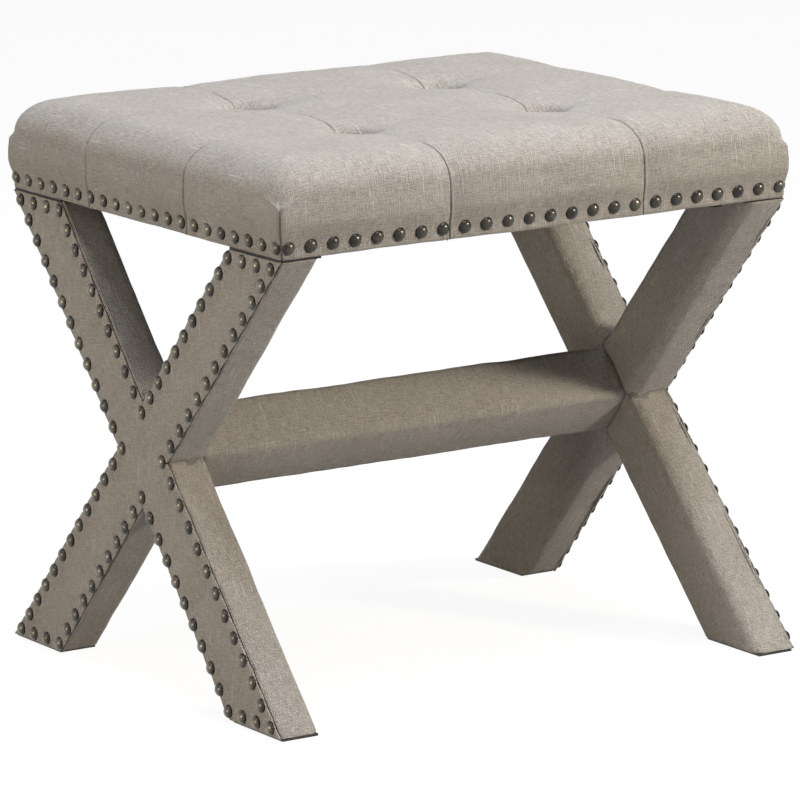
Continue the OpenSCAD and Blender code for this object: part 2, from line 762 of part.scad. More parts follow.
module both_ends() {
    for (side = [-1, 1]) on_side(side) leaned() children();
}

module stretcher_bolts() {
    color(STEEL) both_ends() {
        at_crossing(head_seat - bolt_washer_t) cylinder(h = bolt_l + bolt_washer_t, d = bolt_d);
        at_crossing(linen_t + bore_room / 2) cylinder(h = bolt_head_h, d = bolt_head_w / cos(30), $fn = 6);
    }
}

module stretcher_washers() {
    color(STEEL) both_ends() at_crossing(head_seat - bolt_washer_t) difference() {
        cylinder(h = bolt_washer_t, d = bolt_washer_d);
        translate([0, 0, -overrun]) cylinder(h = bolt_washer_t + 2 * overrun, d = bolt_d + bore_room);
    }
}

module barrel_nuts() {
    color(STEEL) both_ends() difference() {
        translate([barrel_x, 0, cross_z - barrel_l / 2]) cylinder(h = barrel_l, d = barrel_d);
        at_crossing(head_seat) cylinder(h = bolt_l + overrun, d = bolt_d + bore_room);
    }
}

module stretcher_dowels() {
    color(BEECH) both_ends() at_dowels() cylinder(h = dowel_l, d = dowel_d);
}

// A diamond with rounded corners: a polygon that ends where the corner circles begin
module diamond(w, h, r) {
    tip = atan(w / h);
    full_h = h / 2 + r * (1 / sin(tip) - 1);
    full_w = w / 2 + r * (1 / cos(tip) - 1);
    cut_h = r / tan(tip);
    cut_w = r * tan(tip);
    polygon([for (q = [[1, 1], [-1, 1], [-1, -1], [1, -1]]) for (end = q[0] * q[1] > 0 ? [0, 1] : [1, 0])
        end == 0 ? [q[0] * (full_w - cut_w * sin(tip)), q[1] * cut_w * cos(tip)]
            : [q[0] * cut_h * sin(tip), q[1] * (full_h - cut_h * cos(tip))]]);
    for (y = [-1, 1]) {
        translate([0, y * (h / 2 - r)]) circle(r = r);
        translate([y * (w / 2 - r), 0]) circle(r = r);
    }
}

module diamond_rod(inset, ridge_r, length) {
    translate([-length / 2, 0, cross_z]) rotate([90, 0, 90]) linear_extrude(length)
        diamond(stretcher_w - 2 * inset, stretcher_h - 2 * inset, ridge_r);
}

// A length of the stretcher, cut to fit between the leaned frames
module diamond_bar(inset, ridge_r) {
    intersection() {
        diamond_rod(inset, ridge_r, seat_l);
        intersection_for (side = [-1, 1]) on_side(side) leaned()
            translate([leg_d, -seat_w, -seat_z]) cube([2 * seat_l, 2 * seat_w, 3 * seat_z]);
    }
}

module stretcher_core() {
    color(PINE) difference() {
        diamond_bar(linen_t + stretcher_pad, core_round);
        both_ends() {
            stretcher_bores();
            barrel_bore();
        }
    }
}

module stretcher_padding() {
    color(BATTING) difference() {
        diamond_bar(linen_t, ridge_round - linen_t);
        diamond_rod(linen_t + stretcher_pad, core_round, 2 * seat_l);
    }
}

module stretcher_cover() {
    color(LINEN) difference() {
        diamond_bar(0, ridge_round);
        diamond_rod(linen_t, ridge_round - linen_t, 2 * seat_l);
    }
}

// Brackets: a plate on the top of each leg with a tab under the seat, drawn for the left frame
bracket_y = top_spread / 2 - bracket_set_in;
bracket_face = inner_face(base_top);
bracket_screw_x = bracket_face - bracket_reach / 2;
bracket_bolt_x = bracket_face + leg_d - lap_x;

module bracket_screw(room) {
    translate([0, 0, -bracket_head_h]) cylinder(h = bracket_head_h, d = bracket_head_w / cos(30), $fn = 6);
    cylinder(h = bracket_screw_l, d = bracket_screw_d + room);
}

module at_bracket_screws(side) {
    for (y = [-1, 1])
        for (along = [0, bracket_screw_pitch])
            translate([side * bracket_screw_x, y * (bracket_y - bracket_l / 2 + bracket_screw_end + along),
                base_top]) children();
}

module at_bracket_bolts() {
    for (y = [-1, 1])
        for (along = [0, bracket_bolt_pitch])
            translate([-bracket_bolt_x, y * (top_c - along), dust_z]) children();
}

module brackets(side) {
    plate_l = leg_d - 2 * bracket_inset;
    plate_w = leg_level_w - 2 * bracket_inset;
    color(BLACK) difference() {
        on_side(side) for (y = [-1, 1]) {
            translate([bracket_inset - bracket_face - leg_d, y * top_c - plate_w / 2, base_top])
                cube([plate_l, plate_w, bracket_t]);
            translate([-bracket_face - leg_d / 2, y * bracket_y - bracket_l / 2, base_top])
                cube([leg_d / 2 + bracket_reach, bracket_l, bracket_t]);
        }
        at_bracket_screws(side) bracket_screw(bore_room);
        on_side(side) at_bracket_bolts() sunk_screw(bracket_bolt_l, bracket_bolt_d, bore_room);
    }
}

module bracket_bolts(side) {
    color(STEEL) on_side(side) at_bracket_bolts() sunk_screw(bracket_bolt_l, bracket_bolt_d, 0);
}

module bracket_screws(side) {
    color(BLACK) at_bracket_screws(side) bracket_screw(0);
}

seat_cover();
seat_batting();
seat_foam();
seat_board();
front_rail();
back_rail();
left_rail();
right_rail();
left_cleat();
right_cleat();
centre_cleat();
rail_screws();
board_screws();
dust_cover();
dust_cover_staples();
tuft_buttons();
tuft_twine();
tuft_washers();
front_seat_nails();
back_seat_nails();
left_seat_nails();
right_seat_nails();
leg_a(-1);  // left_leg_a
leg_b(-1);  // left_leg_b
base_padding(-1);  // left_base_padding
base_cover(-1);  // left_base_cover
outer_panel(-1);  // left_outer_panel
base_nails(-1);  // left_base_nails
foot_glides(-1);  // left_foot_glides
brackets(-1);  // left_brackets
bracket_bolts(-1);  // left_bracket_bolts
bracket_screws(-1);  // left_bracket_screws
lap_screws(-1);  // left_lap_screws
leg_a(1);  // right_leg_a
leg_b(1);  // right_leg_b
base_padding(1);  // right_base_padding
base_cover(1);  // right_base_cover
outer_panel(1);  // right_outer_panel
base_nails(1);  // right_base_nails
foot_glides(1);  // right_foot_glides
brackets(1);  // right_brackets
bracket_bolts(1);  // right_bracket_bolts
bracket_screws(1);  // right_bracket_screws
lap_screws(1);  // right_lap_screws
stretcher_core();
stretcher_padding();
stretcher_cover();
stretcher_bolts();
stretcher_washers();
barrel_nuts();
stretcher_dowels();
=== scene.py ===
# %% [markdown]
# # A tufted bench on two X frames
# The real bench is a padded seat, covered in heathered linen and pulled down by four hidden buttons.
# Two X-shaped frames carry it, each wrapped in the same linen, and a padded bar of diamond section
# joins them. Rows of domed bronze nails hold the cloth's edges.
# The construction model gives every piece its size and place. This lesson dresses it piece by piece.
# All lengths are metres: the bench runs along X, its front faces -Y and Z is up.

# %% The construction model
import math

import bmesh
import bpy
import numpy as np
from mathutils import Matrix, Vector, noise


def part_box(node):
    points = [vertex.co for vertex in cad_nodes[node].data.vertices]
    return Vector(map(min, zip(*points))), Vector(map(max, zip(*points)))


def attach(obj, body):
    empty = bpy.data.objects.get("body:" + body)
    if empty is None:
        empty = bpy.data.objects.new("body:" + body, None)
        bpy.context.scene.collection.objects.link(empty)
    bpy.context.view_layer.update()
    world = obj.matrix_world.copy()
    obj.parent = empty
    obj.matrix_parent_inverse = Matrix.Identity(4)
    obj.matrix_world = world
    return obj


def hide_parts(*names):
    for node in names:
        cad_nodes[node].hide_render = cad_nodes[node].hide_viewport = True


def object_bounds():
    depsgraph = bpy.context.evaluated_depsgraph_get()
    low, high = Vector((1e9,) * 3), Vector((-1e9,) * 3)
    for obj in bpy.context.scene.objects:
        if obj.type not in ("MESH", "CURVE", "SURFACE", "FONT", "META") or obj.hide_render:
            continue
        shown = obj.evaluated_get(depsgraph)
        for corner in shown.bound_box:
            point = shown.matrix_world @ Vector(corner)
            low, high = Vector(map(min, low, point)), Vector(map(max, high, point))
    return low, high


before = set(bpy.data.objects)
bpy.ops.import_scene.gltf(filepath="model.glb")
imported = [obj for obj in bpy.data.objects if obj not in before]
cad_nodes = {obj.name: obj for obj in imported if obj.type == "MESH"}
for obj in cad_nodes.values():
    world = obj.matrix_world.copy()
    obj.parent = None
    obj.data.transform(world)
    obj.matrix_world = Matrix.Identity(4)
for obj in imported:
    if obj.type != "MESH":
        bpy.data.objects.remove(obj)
cad_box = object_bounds()
MM = 0.001
cad_size = [round(v, 3) for v in cad_box[1] - cad_box[0]]
print(len(cad_nodes), "pieces in the construction model, size", cad_size, "m")

# %% [markdown]
# ## Camera
# The photograph was taken with a long lens from a little above the seat, off the bench's left front
# corner, so lines hardly converge. A camera that looks at a target is easiest to describe by its
# bearing, height and distance. Its axes are the columns of its matrix, and a small roll turns them.

# %% Camera
CAMERA_BEARING = math.radians(-32.728)
CAMERA_HEIGHT = math.radians(11.823)
CAMERA_ROLL = math.radians(-0.747)
CAMERA_DISTANCE = 4.767
CAMERA_LENS = 267.03
CAMERA_TARGET = Vector((0.0014, -0.0006, 0.2010))
CAMERA_CLIP_END = 50


def aim_camera():
    """Make the camera that sees the bench as the photograph does."""
    level = math.cos(CAMERA_HEIGHT)
    rise = math.sin(CAMERA_HEIGHT)
    back = Vector((math.sin(CAMERA_BEARING) * level, -math.cos(CAMERA_BEARING) * level, rise))
    right = (-back).cross(Vector((0, 0, 1))).normalized()
    above = back.cross(right)
    turn = Matrix.Rotation(CAMERA_ROLL, 3, back)
    axes = Matrix((turn @ right, turn @ above, back)).transposed().to_4x4()
    data = bpy.data.cameras.new("camera")
    data.lens = CAMERA_LENS
    data.clip_end = CAMERA_CLIP_END
    camera = bpy.data.objects.new("camera", data)
    camera.matrix_world = Matrix.Translation(CAMERA_TARGET + back * CAMERA_DISTANCE) @ axes
    bpy.context.scene.collection.objects.link(camera)
    bpy.context.scene.camera = camera
    return camera


print("camera at", [round(v, 3) for v in aim_camera().location])

# %% [markdown]
# ## Shader maths
# A finish is a small network of nodes. Written as Python it reads better: one class wraps a socket, so
# that + - and * on it add Math nodes. Plain numbers are still worked out in Python.

# %% Shader maths
class Wire:
    """One output socket of a finish, on which Python's operators add Math nodes."""

    def __init__(self, finish, socket):
        self.finish = finish
        self.socket = socket

    def __add__(self, other):
        return self.finish.maths("ADD", self, other)

    def __radd__(self, other):
        return self.finish.maths("ADD", other, self)

    def __sub__(self, other):
        return self.finish.maths("SUBTRACT", self, other)

    def __rsub__(self, other):
        return self.finish.maths("SUBTRACT", other, self)

    def __mul__(self, other):
        return self.finish.maths("MULTIPLY", self, other)

    def __rmul__(self, other):
        return self.finish.maths("MULTIPLY", other, self)


print("a Wire takes + - and *")

# %% [markdown]
# The finish itself is a material with one Principled shader. One method makes every kind of node from
# its type, its settings and the values of its sockets. The others are short names for common nodes.

# %% Finish
class Finish:
    """A material with one Principled shader. Constants go on the shader's own sockets."""

    def __init__(self, name, **constants):
        self.material = bpy.data.materials.new(name)
        self.material.use_nodes = True
        self.tree = self.material.node_tree
        self.shader = self.tree.nodes["Principled BSDF"]
        for socket, value in constants.items():
            self.shader.inputs[socket.replace("_", " ")].default_value = value

    def node(self, kind, settings, out, *by_place, **by_name):
        """Add a node: its settings, then its sockets by place or by name. Gives the output named out."""
        made = self.tree.nodes.new(kind)
        for key, value in settings.items():
            if key == "stops":
                self.set_stops(made.color_ramp, value)
            else:
                setattr(made, key, value)
        sockets = list(enumerate(by_place)) + [(key, value) for key, value in by_name.items()]
        for key, value in sockets:
            target = made.inputs[key] if isinstance(key, int) else self.find(made.inputs, key)
            self.feed(target, value)
        return Wire(self, self.find(made.outputs, out))

    def find(self, sockets, name):
        """The socket of that identifier or name, where an underscore may stand for a space."""
        for socket in sockets:
            if name in (socket.identifier, socket.name, socket.name.replace(" ", "_")):
                return socket
        raise KeyError(name)

    def feed(self, socket, value):
        if isinstance(value, Wire):
            self.tree.links.new(value.socket, socket)
        else:
            socket.default_value = value

    def set_stops(self, ramp, stops):
        """Lay out a colour ramp from (position, colour) pairs."""
        while len(ramp.elements) < len(stops):
            ramp.elements.new(1)
        for element, (position, colour) in zip(ramp.elements, stops):
            element.position = position
            element.color = (*colour, 1)

    def maths(self, operation, *values):
        return self.node("ShaderNodeMath", {"operation": operation}, "Value", *values)

    def drive(self, socket, wire):
        """Let a value that varies over the surface feed a socket of the shader."""
        self.tree.links.new(wire.socket, self.shader.inputs[socket])

    def scaled(self, place, x, y=None, z=0):
        """A place stretched by its own factor along each axis, or by x along all of them."""
        factors = (x, x, x) if y is None else (x, y, z)
        return self.node("ShaderNodeVectorMath", {"operation": "MULTIPLY"}, "Vector", place, factors)

    def noise(self, place, detail=2.0, rough=0.5):
        """Cloudy noise, near 0.5 with a spread of about 0.15, on a place that is already scaled."""
        return self.node("ShaderNodeTexNoise", {}, "Fac", Vector=place, Scale=1.0, Detail=detail,
                         Roughness=rough)

    def between(self, wire, low, high):
        """0 below low, 1 above high, and a straight run in between."""
        return self.node("ShaderNodeMapRange", {}, "Result", Value=wire, From_Min=low, From_Max=high)

    def ramp(self, wire, *stops):
        return self.node("ShaderNodeValToRGB", {"stops": stops}, "Color", Fac=wire)

    def mix(self, share, first, second):
        """Share 0 gives the first colour and share 1 the second."""
        return self.node("ShaderNodeMix", {"data_type": "RGBA"}, "Result_Color", Factor_Float=share,
                         A_Color=first, B_Color=second)

    def bump(self, height, depth, strength=1.0):
        """A bump of the given depth in metres feeds the shader's Normal."""
        bumped = self.node("ShaderNodeBump", {}, "Normal", Height=height, Distance=depth, Strength=strength)
        self.drive("Normal", bumped)

    def place(self):
        """The place on the piece, in metres."""
        return self.node("ShaderNodeTexCoord", {}, "Object")


print("a Finish has", len([name for name in vars(Finish) if name[0] != "_"]), "methods")

# %% [markdown]
# ## Linen
# The cloth is a plain weave of uneven yarn in light and dark beige. What the eye sees is not each thread but
# their unevenness: every thread is a little lighter or darker than the next, some swell into slubs, and
# brown flecks are caught in them. A picture of cloth would repeat, and stretch over the edges. Noise
# that is drawn out along the threads does neither, so the weave is made of that. Each cloth mesh carries
# an attribute called cloth, its place on the flat cloth in metres, so the threads run along the cloth and
# over its edges as real ones do.

# %% Linen
LINEN_DARK = (0.215, 0.182, 0.148)
LINEN_MIDDLE = (0.460, 0.412, 0.360)
LINEN_LIGHT = (0.740, 0.695, 0.645)
LINEN_FLECK = (0.150, 0.105, 0.070)
THREAD_PITCH = 0.9 * MM
THREAD_RUN = 8 * MM
SLUB_RUN = 40 * MM
LINEN_BUMP = 0.9 * MM


def linen(name):
    """Heathered linen whose threads follow the cloth attribute."""
    f = Finish(name, Roughness=0.86, Sheen_Weight=0.22, Sheen_Roughness=0.45, Specular_IOR_Level=0.18)
    cloth = f.node("ShaderNodeAttribute", {"attribute_name": "cloth"}, "Vector")
    fine, long, slub = 1 / THREAD_PITCH, 1 / THREAD_RUN, 1 / SLUB_RUN
    warp = f.noise(f.scaled(cloth, fine, long), detail=1.0)
    weft = f.noise(f.scaled(cloth, long, fine), detail=1.0)
    grain = f.noise(f.scaled(cloth, 1.2 * fine), detail=2.0, rough=0.7)
    slub_warp = f.between(f.noise(f.scaled(cloth, fine * 0.6, slub), detail=0), 0.70, 0.80)
    slub_weft = f.between(f.noise(f.scaled(cloth, slub, fine * 0.6), detail=0), 0.74, 0.84)
    fleck = f.between(f.noise(f.scaled(cloth, fine / 2, fine / 4), detail=1.0), 0.74, 0.80)
    cloud = f.noise(f.scaled(cloth, 22), detail=2.0)
    tone = (warp + weft - 1) * 0.6 + (grain - 0.5) * 1.6 + (cloud - 0.5) * 0.2 + 0.5
    tone = tone + slub_warp * 0.22 + slub_weft * 0.12
    colour = f.ramp(tone, (0.08, LINEN_DARK), (0.5, LINEN_MIDDLE), (0.95, LINEN_LIGHT))
    f.drive("Base Color", f.mix(fleck * 0.6, colour, (*LINEN_FLECK, 1)))
    u = f.node("ShaderNodeSeparateXYZ", {}, "X", Vector=cloth)
    v = f.node("ShaderNodeSeparateXYZ", {}, "Y", Vector=cloth)
    turn = math.pi / THREAD_PITCH
    weave = f.maths("SINE", u * turn) * f.maths("SINE", v * turn)
    height = weave * 0.2 + (warp + weft) * 0.5 + grain * 0.7 + slub_warp * 0.3
    f.bump(height, LINEN_BUMP)
    return f.material


LINEN = linen("linen")
print("linen made, thread pitch", THREAD_PITCH)

# %% [markdown]
# ## Background
# The photograph is a studio picture on white. A white world would light the bench from all sides, so the
# world is white only where the camera or a reflection looks at it, and a faint warm glow elsewhere.

# %% Background
WHITE = (1, 1, 1, 1)
AMBIENT_STRENGTH = 0.04
AMBIENT_COLOUR = (1.0, 0.86, 0.70, 1)


def seen_directly(tree):
    """1 for rays from the camera, in a reflection or through glass, and 0 for light on the bench."""
    path = tree.nodes.new("ShaderNodeLightPath")
    seen = path.outputs["Is Camera Ray"]
    for kind in ("Is Glossy Ray", "Is Transmission Ray"):
        more = tree.nodes.new("ShaderNodeMath")
        more.operation = "MAXIMUM"
        tree.links.new(seen, more.inputs[0])
        tree.links.new(path.outputs[kind], more.inputs[1])
        seen = more.outputs[0]
    return seen


def set_world():
    world = bpy.data.worlds.new("studio")
    world.use_nodes = True
    bpy.context.scene.world = world
    tree = world.node_tree
    ambient = tree.nodes["Background"]
    ambient.inputs["Color"].default_value = AMBIENT_COLOUR
    ambient.inputs["Strength"].default_value = AMBIENT_STRENGTH
    backdrop = tree.nodes.new("ShaderNodeBackground")
    backdrop.inputs["Color"].default_value = WHITE
    mix = tree.nodes.new("ShaderNodeMixShader")
    tree.links.new(seen_directly(tree), mix.inputs[0])
    tree.links.new(ambient.outputs[0], mix.inputs[1])
    tree.links.new(backdrop.outputs[0], mix.inputs[2])
    tree.links.new(mix.outputs[0], tree.nodes["World Output"].inputs[0])


bpy.context.scene.view_settings.view_transform = "Standard"
set_world()
print("world strength on the bench", AMBIENT_STRENGTH)

# %% [markdown]
# The floor is a mid grey that the lamps light, mixed where it is seen with a white glow. The glow makes it
# nearly white in the picture, and the grey under it keeps a faint shadow of the bench.

# %% Floor
FLOOR_HALF = 12
FLOOR_COLOUR = (0.42, 0.42, 0.42, 1)
FLOOR_WHITE_SHARE = 0.70
FLOOR_GLOW = 1.33


def lay_floor():
    mesh = bpy.data.meshes.new("floor")
    ways = ((-1, -1), (1, -1), (1, 1), (-1, 1))
    corners = [(FLOOR_HALF * x, FLOOR_HALF * y, 0) for x, y in ways]
    mesh.from_pydata(corners, [], [(0, 1, 2, 3)])
    floor = bpy.data.objects.new("floor", mesh)
    bpy.context.scene.collection.objects.link(floor)
    material = bpy.data.materials.new("floor")
    material.use_nodes = True
    tree = material.node_tree
    lit = tree.nodes["Principled BSDF"]
    lit.inputs["Base Color"].default_value = FLOOR_COLOUR
    lit.inputs["Roughness"].default_value = 1.0
    lit.inputs["Specular IOR Level"].default_value = 0.0
    white = tree.nodes.new("ShaderNodeEmission")
    white.inputs["Color"].default_value = WHITE
    white.inputs["Strength"].default_value = FLOOR_GLOW
    share = tree.nodes.new("ShaderNodeMath")
    share.operation = "MULTIPLY"
    share.inputs[1].default_value = FLOOR_WHITE_SHARE
    tree.links.new(seen_directly(tree), share.inputs[0])
    mix = tree.nodes.new("ShaderNodeMixShader")
    tree.links.new(share.outputs[0], mix.inputs[0])
    tree.links.new(lit.outputs[0], mix.inputs[1])
    tree.links.new(white.outputs[0], mix.inputs[2])
    tree.links.new(mix.outputs[0], tree.nodes["Material Output"].inputs[0])
    mesh.materials.append(material)


lay_floor()
print("floor", 2 * FLOOR_HALF, "m wide")

# %% [markdown]
# ## Light
# A wide lamp overhead makes the seat's top the brightest face. A small key lamp at the front right draws
# a highlight on each nail and throws the right frame's shadow on the stretcher. Two on the left, a weak
# high one and a warm low one, keep the nailed frame a tone darker than the front.

# %% Lamps
# name, place, size of the square, power in watts, colour
LAMPS = [
    ("overhead", (0.1, -0.3, 2.6), 1.8, 68, (0.785, 0.86, 0.98)),
    ("front_right", (1.88, -2.24, 1.72), 0.5, 68, (1.0, 0.93, 0.80)),
    ("left_high", (-2.0, -0.5, 2.1), 1.2, 7, (1.0, 0.96, 0.94)),
    ("left_low", (-3.27, -0.29, 0.55), 1.2, 29, (1.0, 0.90, 0.70)),
]


def softbox(name, place, size, power, tint):
    """A square lamp that faces the bench."""
    data = bpy.data.lights.new(name, "AREA")
    data.size = size
    data.energy = power
    data.color = tint
    lamp = bpy.data.objects.new(name, data)
    lamp.location = place
    lamp.rotation_euler = (CAMERA_TARGET - Vector(place)).to_track_quat("-Z", "Y").to_euler()
    bpy.context.scene.collection.objects.link(lamp)


for lamp in LAMPS:
    softbox(*lamp)

# %% [markdown]
# ## Mesh helpers
# A soft piece could be sculpted, or be a block with modifiers. Here each one is a grid of points worked
# out by a formula, because then its layers nest and the place of every thread is known. These helpers
# turn points and faces into an object, merge points that lie on each other, and turn its faces outward.

# %% Mesh helpers
def mesh_object(name, points, faces, material, cloth=None):
    """An object from points and faces. cloth is the place of each point on the flat cloth."""
    mesh = bpy.data.meshes.new(name)
    mesh.from_pydata([tuple(p) for p in points], [], [tuple(int(i) for i in f) for f in faces])
    if cloth is not None:
        flat = np.zeros((len(points), 3), np.float32)
        flat[:, :2] = cloth
        mesh.attributes.new("cloth", "FLOAT_VECTOR", "POINT").data.foreach_set("vector", flat.ravel())
    mesh.materials.append(material)
    mesh.shade_smooth()
    made = bpy.data.objects.new(name, mesh)
    bpy.context.scene.collection.objects.link(made)
    return made


def join_points(piece, gap=0.02 * MM):
    """Merge points that lie on each other, so that strips made apart become one skin."""
    work = bmesh.new()
    work.from_mesh(piece.data)
    bmesh.ops.remove_doubles(work, verts=work.verts, dist=gap)
    bmesh.ops.recalc_face_normals(work, faces=work.faces)
    work.to_mesh(piece.data)
    work.free()


def face_out(piece, outward):
    """Flip the whole skin if its faces look inward. outward gives the way out at a point."""
    facing = sum(p.normal.dot(outward(p.center)) * p.area for p in piece.data.polygons)
    if facing < 0:
        piece.data.flip_normals()


# %% [markdown]
# Cloth on padding is never quite even, so a skin is rippled a little before it gets its thickness. Last,
# each piece is hung on the root body, and the pieces of the model that it stands for are hidden.

# %% Ripples, thickness and hand-over
def ripple(piece, *waves):
    """Push each point along its normal by smooth noise.

    A wave is its height, its size and, where it isn't the same all over, a function that gives its share.
    """
    mesh = piece.data
    moves = []
    for vertex in mesh.vertices:
        push = 0
        for height, size, *share in waves:
            push += height * noise.noise(vertex.co / size) * (share[0](vertex.co) if share else 1)
        moves.append(vertex.co + vertex.normal * push)
    mesh.vertices.foreach_set("co", np.array(moves, np.float32).ravel())
    mesh.update()


def thicken(piece, thickness):
    """Give a skin its thickness on the inner side."""
    solid = piece.modifiers.new("thickness", "SOLIDIFY")
    solid.thickness = thickness
    solid.offset = -1
    solid.use_even_offset = False


def hand_over(piece, slot, *replaced):
    """Hang a piece on the root body and hide the pieces of the model that it stands for. slot is not used.
    """
    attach(piece, "root")
    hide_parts(*replaced)


def smooth(low, high, value):
    """An S curve from 0 at low to 1 at high."""
    share = np.clip((value - low) / (high - low), 0, 1)
    return share * share * (3 - 2 * share)


print("smooth step halfway up:", smooth(0, 1, 0.5))

# %% [markdown]
# ## The seat's form
# The seat is a block of foam under batting and linen. Four hidden buttons pull it down, the cloth is
# folded over the edges in line with them, and the corners are folded and stitched. A cloth simulation
# could drape it, but it would need a very fine mesh for folds this sharp, and the cloth is stretched too
# tight to hang freely. So one height formula gives the top: a crown, less a dish and a funnel at each
# tuft, less the rounded edge. The linen, batting and foam are that formula at different depths, so they
# nest. It is built up here piece by piece.

# %% Seat sizes
LINEN_T = 1.5 * MM
BATTING_T = 4 * MM
SOFT_GAP = 0.3 * MM
SIDE_PAD_T = 3 * MM
SEAT_H = 69 * MM
BUTTON_R = 8 * MM
BUTTON_GAP = 1 * MM

seat_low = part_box("seat_cover")[0].z
half_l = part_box("front_rail")[1].x + LINEN_T + SIDE_PAD_T
half_w = -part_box("front_rail")[0].y + LINEN_T + SIDE_PAD_T
button_low, button_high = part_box("tuft_buttons")
tuft_x = button_high.x - BUTTON_R
tuft_y = button_high.y - BUTTON_R
tuft_low = button_low.z
edge_z = seat_low + SEAT_H
tuft_depth = edge_z - tuft_low
print(f"seat half length {half_l:.4f}, half width {half_w:.4f}, tufts at {tuft_x:.3f}, {tuft_y:.3f}")

# %% [markdown]
# A tuft is a flat bottom for the button, a funnel round it and a shallow dish round that. The linen is
# tight, so its funnel ends in a steep wall, which keeps the pit dark. The padding's well is wider.

# %% Tufts
FUNNEL_W = 15 * MM
PIT_WALL_W = 6.5 * MM
PIT_WALL_SHARE = 0.68
PAD_WELL = 6 * MM
DISH_DEPTH = 6 * MM
DISH_W = 48 * MM


def pillow(p, tuft, half):
    """1 in the middle of a panel, 0 on a line through the tufts and at the seat's edge."""
    q = np.abs(p)
    inner = np.cos(np.pi / 2 * q / tuft)
    outer = np.sin(np.pi * (q - tuft) / (half - tuft))
    return np.maximum(0, np.where(q < tuft, inner, outer)) ** 0.5


def near_line(p, line, width):
    """1 on a line at plus or minus p, fading to 0 over the width."""
    return np.exp(-(((np.abs(p) - line) / width) ** 2))


def past_flat(x, y):
    """Distance past the flat bottom of the nearest tuft."""
    flat_r = (BUTTON_R + BUTTON_GAP) * math.sqrt(2)
    return np.maximum(0, np.hypot(np.abs(x) - tuft_x, np.abs(y) - tuft_y) - flat_r)


def funnel(x, y, fold):
    """1 at a tuft's flat, fading round it. The tight linen falls gently first, then in a steep wall.

    The padding's well is wider by PAD_WELL, so that it stays clear of the linen's wall.
    """
    past = past_flat(x, y)
    if not fold:
        past = np.maximum(0, past - PAD_WELL)
    gentle = np.exp(-((past / (FUNNEL_W / 2)) ** 1.2))
    steep = np.exp(-((past / PIT_WALL_W) ** 2.2))
    return gentle + (steep - gentle) * PIT_WALL_SHARE * fold


def dish(x, y):
    """The shallow dish into which each tuft pulls the top."""
    return DISH_DEPTH * np.maximum(0, 1 - past_flat(x, y) / DISH_W) ** 1.5


print("pull of a tuft 5 mm past its flat:", round(float(funnel(tuft_x + 18 * MM, tuft_y, 1)), 3))

# %% [markdown]
# Toward the edge the top falls along an arc. The cloth is longer over that arc than its plan shows, and
# over_edge measures by how much, so that its threads keep their pitch there.

# %% Rounded edge
EDGE_ROUND_W = 32 * MM
EDGE_ROUND_H = 26 * MM
CORNER_EXTRA = 1.5


def edge_share(p, half, round_w):
    """0 on the top, rising from 0 to 1 over the rounded edge."""
    return np.maximum(0, (np.abs(p) - half + round_w) / round_w)


def over_edge(p, half):
    """Place along the cloth of a place p in the plan."""
    e = np.linspace(0, 0.9999, 400)
    across, down = EDGE_ROUND_W * e, EDGE_ROUND_H * (1 - np.sqrt(1 - e * e))
    run = np.concatenate([[0], np.cumsum(np.hypot(np.diff(across), np.diff(down)))])
    share = edge_share(p, half, EDGE_ROUND_W)
    return np.where(share > 0, np.sign(p) * (half - EDGE_ROUND_W + np.interp(share, e, run)), p)


def drop_share(ex, ey):
    """Share of the rounded edge's fall: an arc over each edge, and a little more than 1 at the corners."""
    e = (ex**4 + ey**4) ** 0.25
    return np.where(e < 1, 1 - np.sqrt(np.maximum(0, 1 - e * e)), 1 + (e - 1) * CORNER_EXTRA)


print("cloth over one edge:", round(float(over_edge(half_l, half_l) - half_l + EDGE_ROUND_W), 4), "m")

# %% [markdown]
# Folds are narrow grooves with a raised lip on one side. They lie in line with the tufts over the edges,
# and a short one runs back from each tuft. A broader crease draws the cloth in around them, and a seam
# runs up each corner.

# %% Folds and height
CROWN_H = 4 * MM
CROWN_DIP = 0.6
CREASE_W = 11 * MM
EDGE_PINCH = 2 * MM
FOLD_DEPTH = 2.8 * MM
FOLD_W = 0.42 * MM
FOLD_LIP = 0.5 * MM
FOLD_START = 38 * MM
FOLD_FULL = 28 * MM
BEHIND_FULL = 25 * MM
BEHIND_END = 80 * MM
SEAM_DEPTH = 1.8 * MM
SEAM_FULL = 7 * MM
SEAM_END = 16 * MM


def fold_depths(x, y):
    """Depths of the folds along y and of those along x. The first also run a little way behind a tuft."""
    behind = np.where(y > 0, y - tuft_y, y + tuft_y)
    along_y = np.maximum(smooth(half_w - FOLD_START, half_w - FOLD_FULL, np.abs(y)),
                         smooth(BEHIND_END, BEHIND_FULL, behind) * (behind > 0))
    along_x = smooth(half_l - FOLD_START, half_l - FOLD_FULL, np.abs(x))
    return along_y * near_line(x, tuft_x, FOLD_W), along_x * near_line(y, tuft_y, FOLD_W)


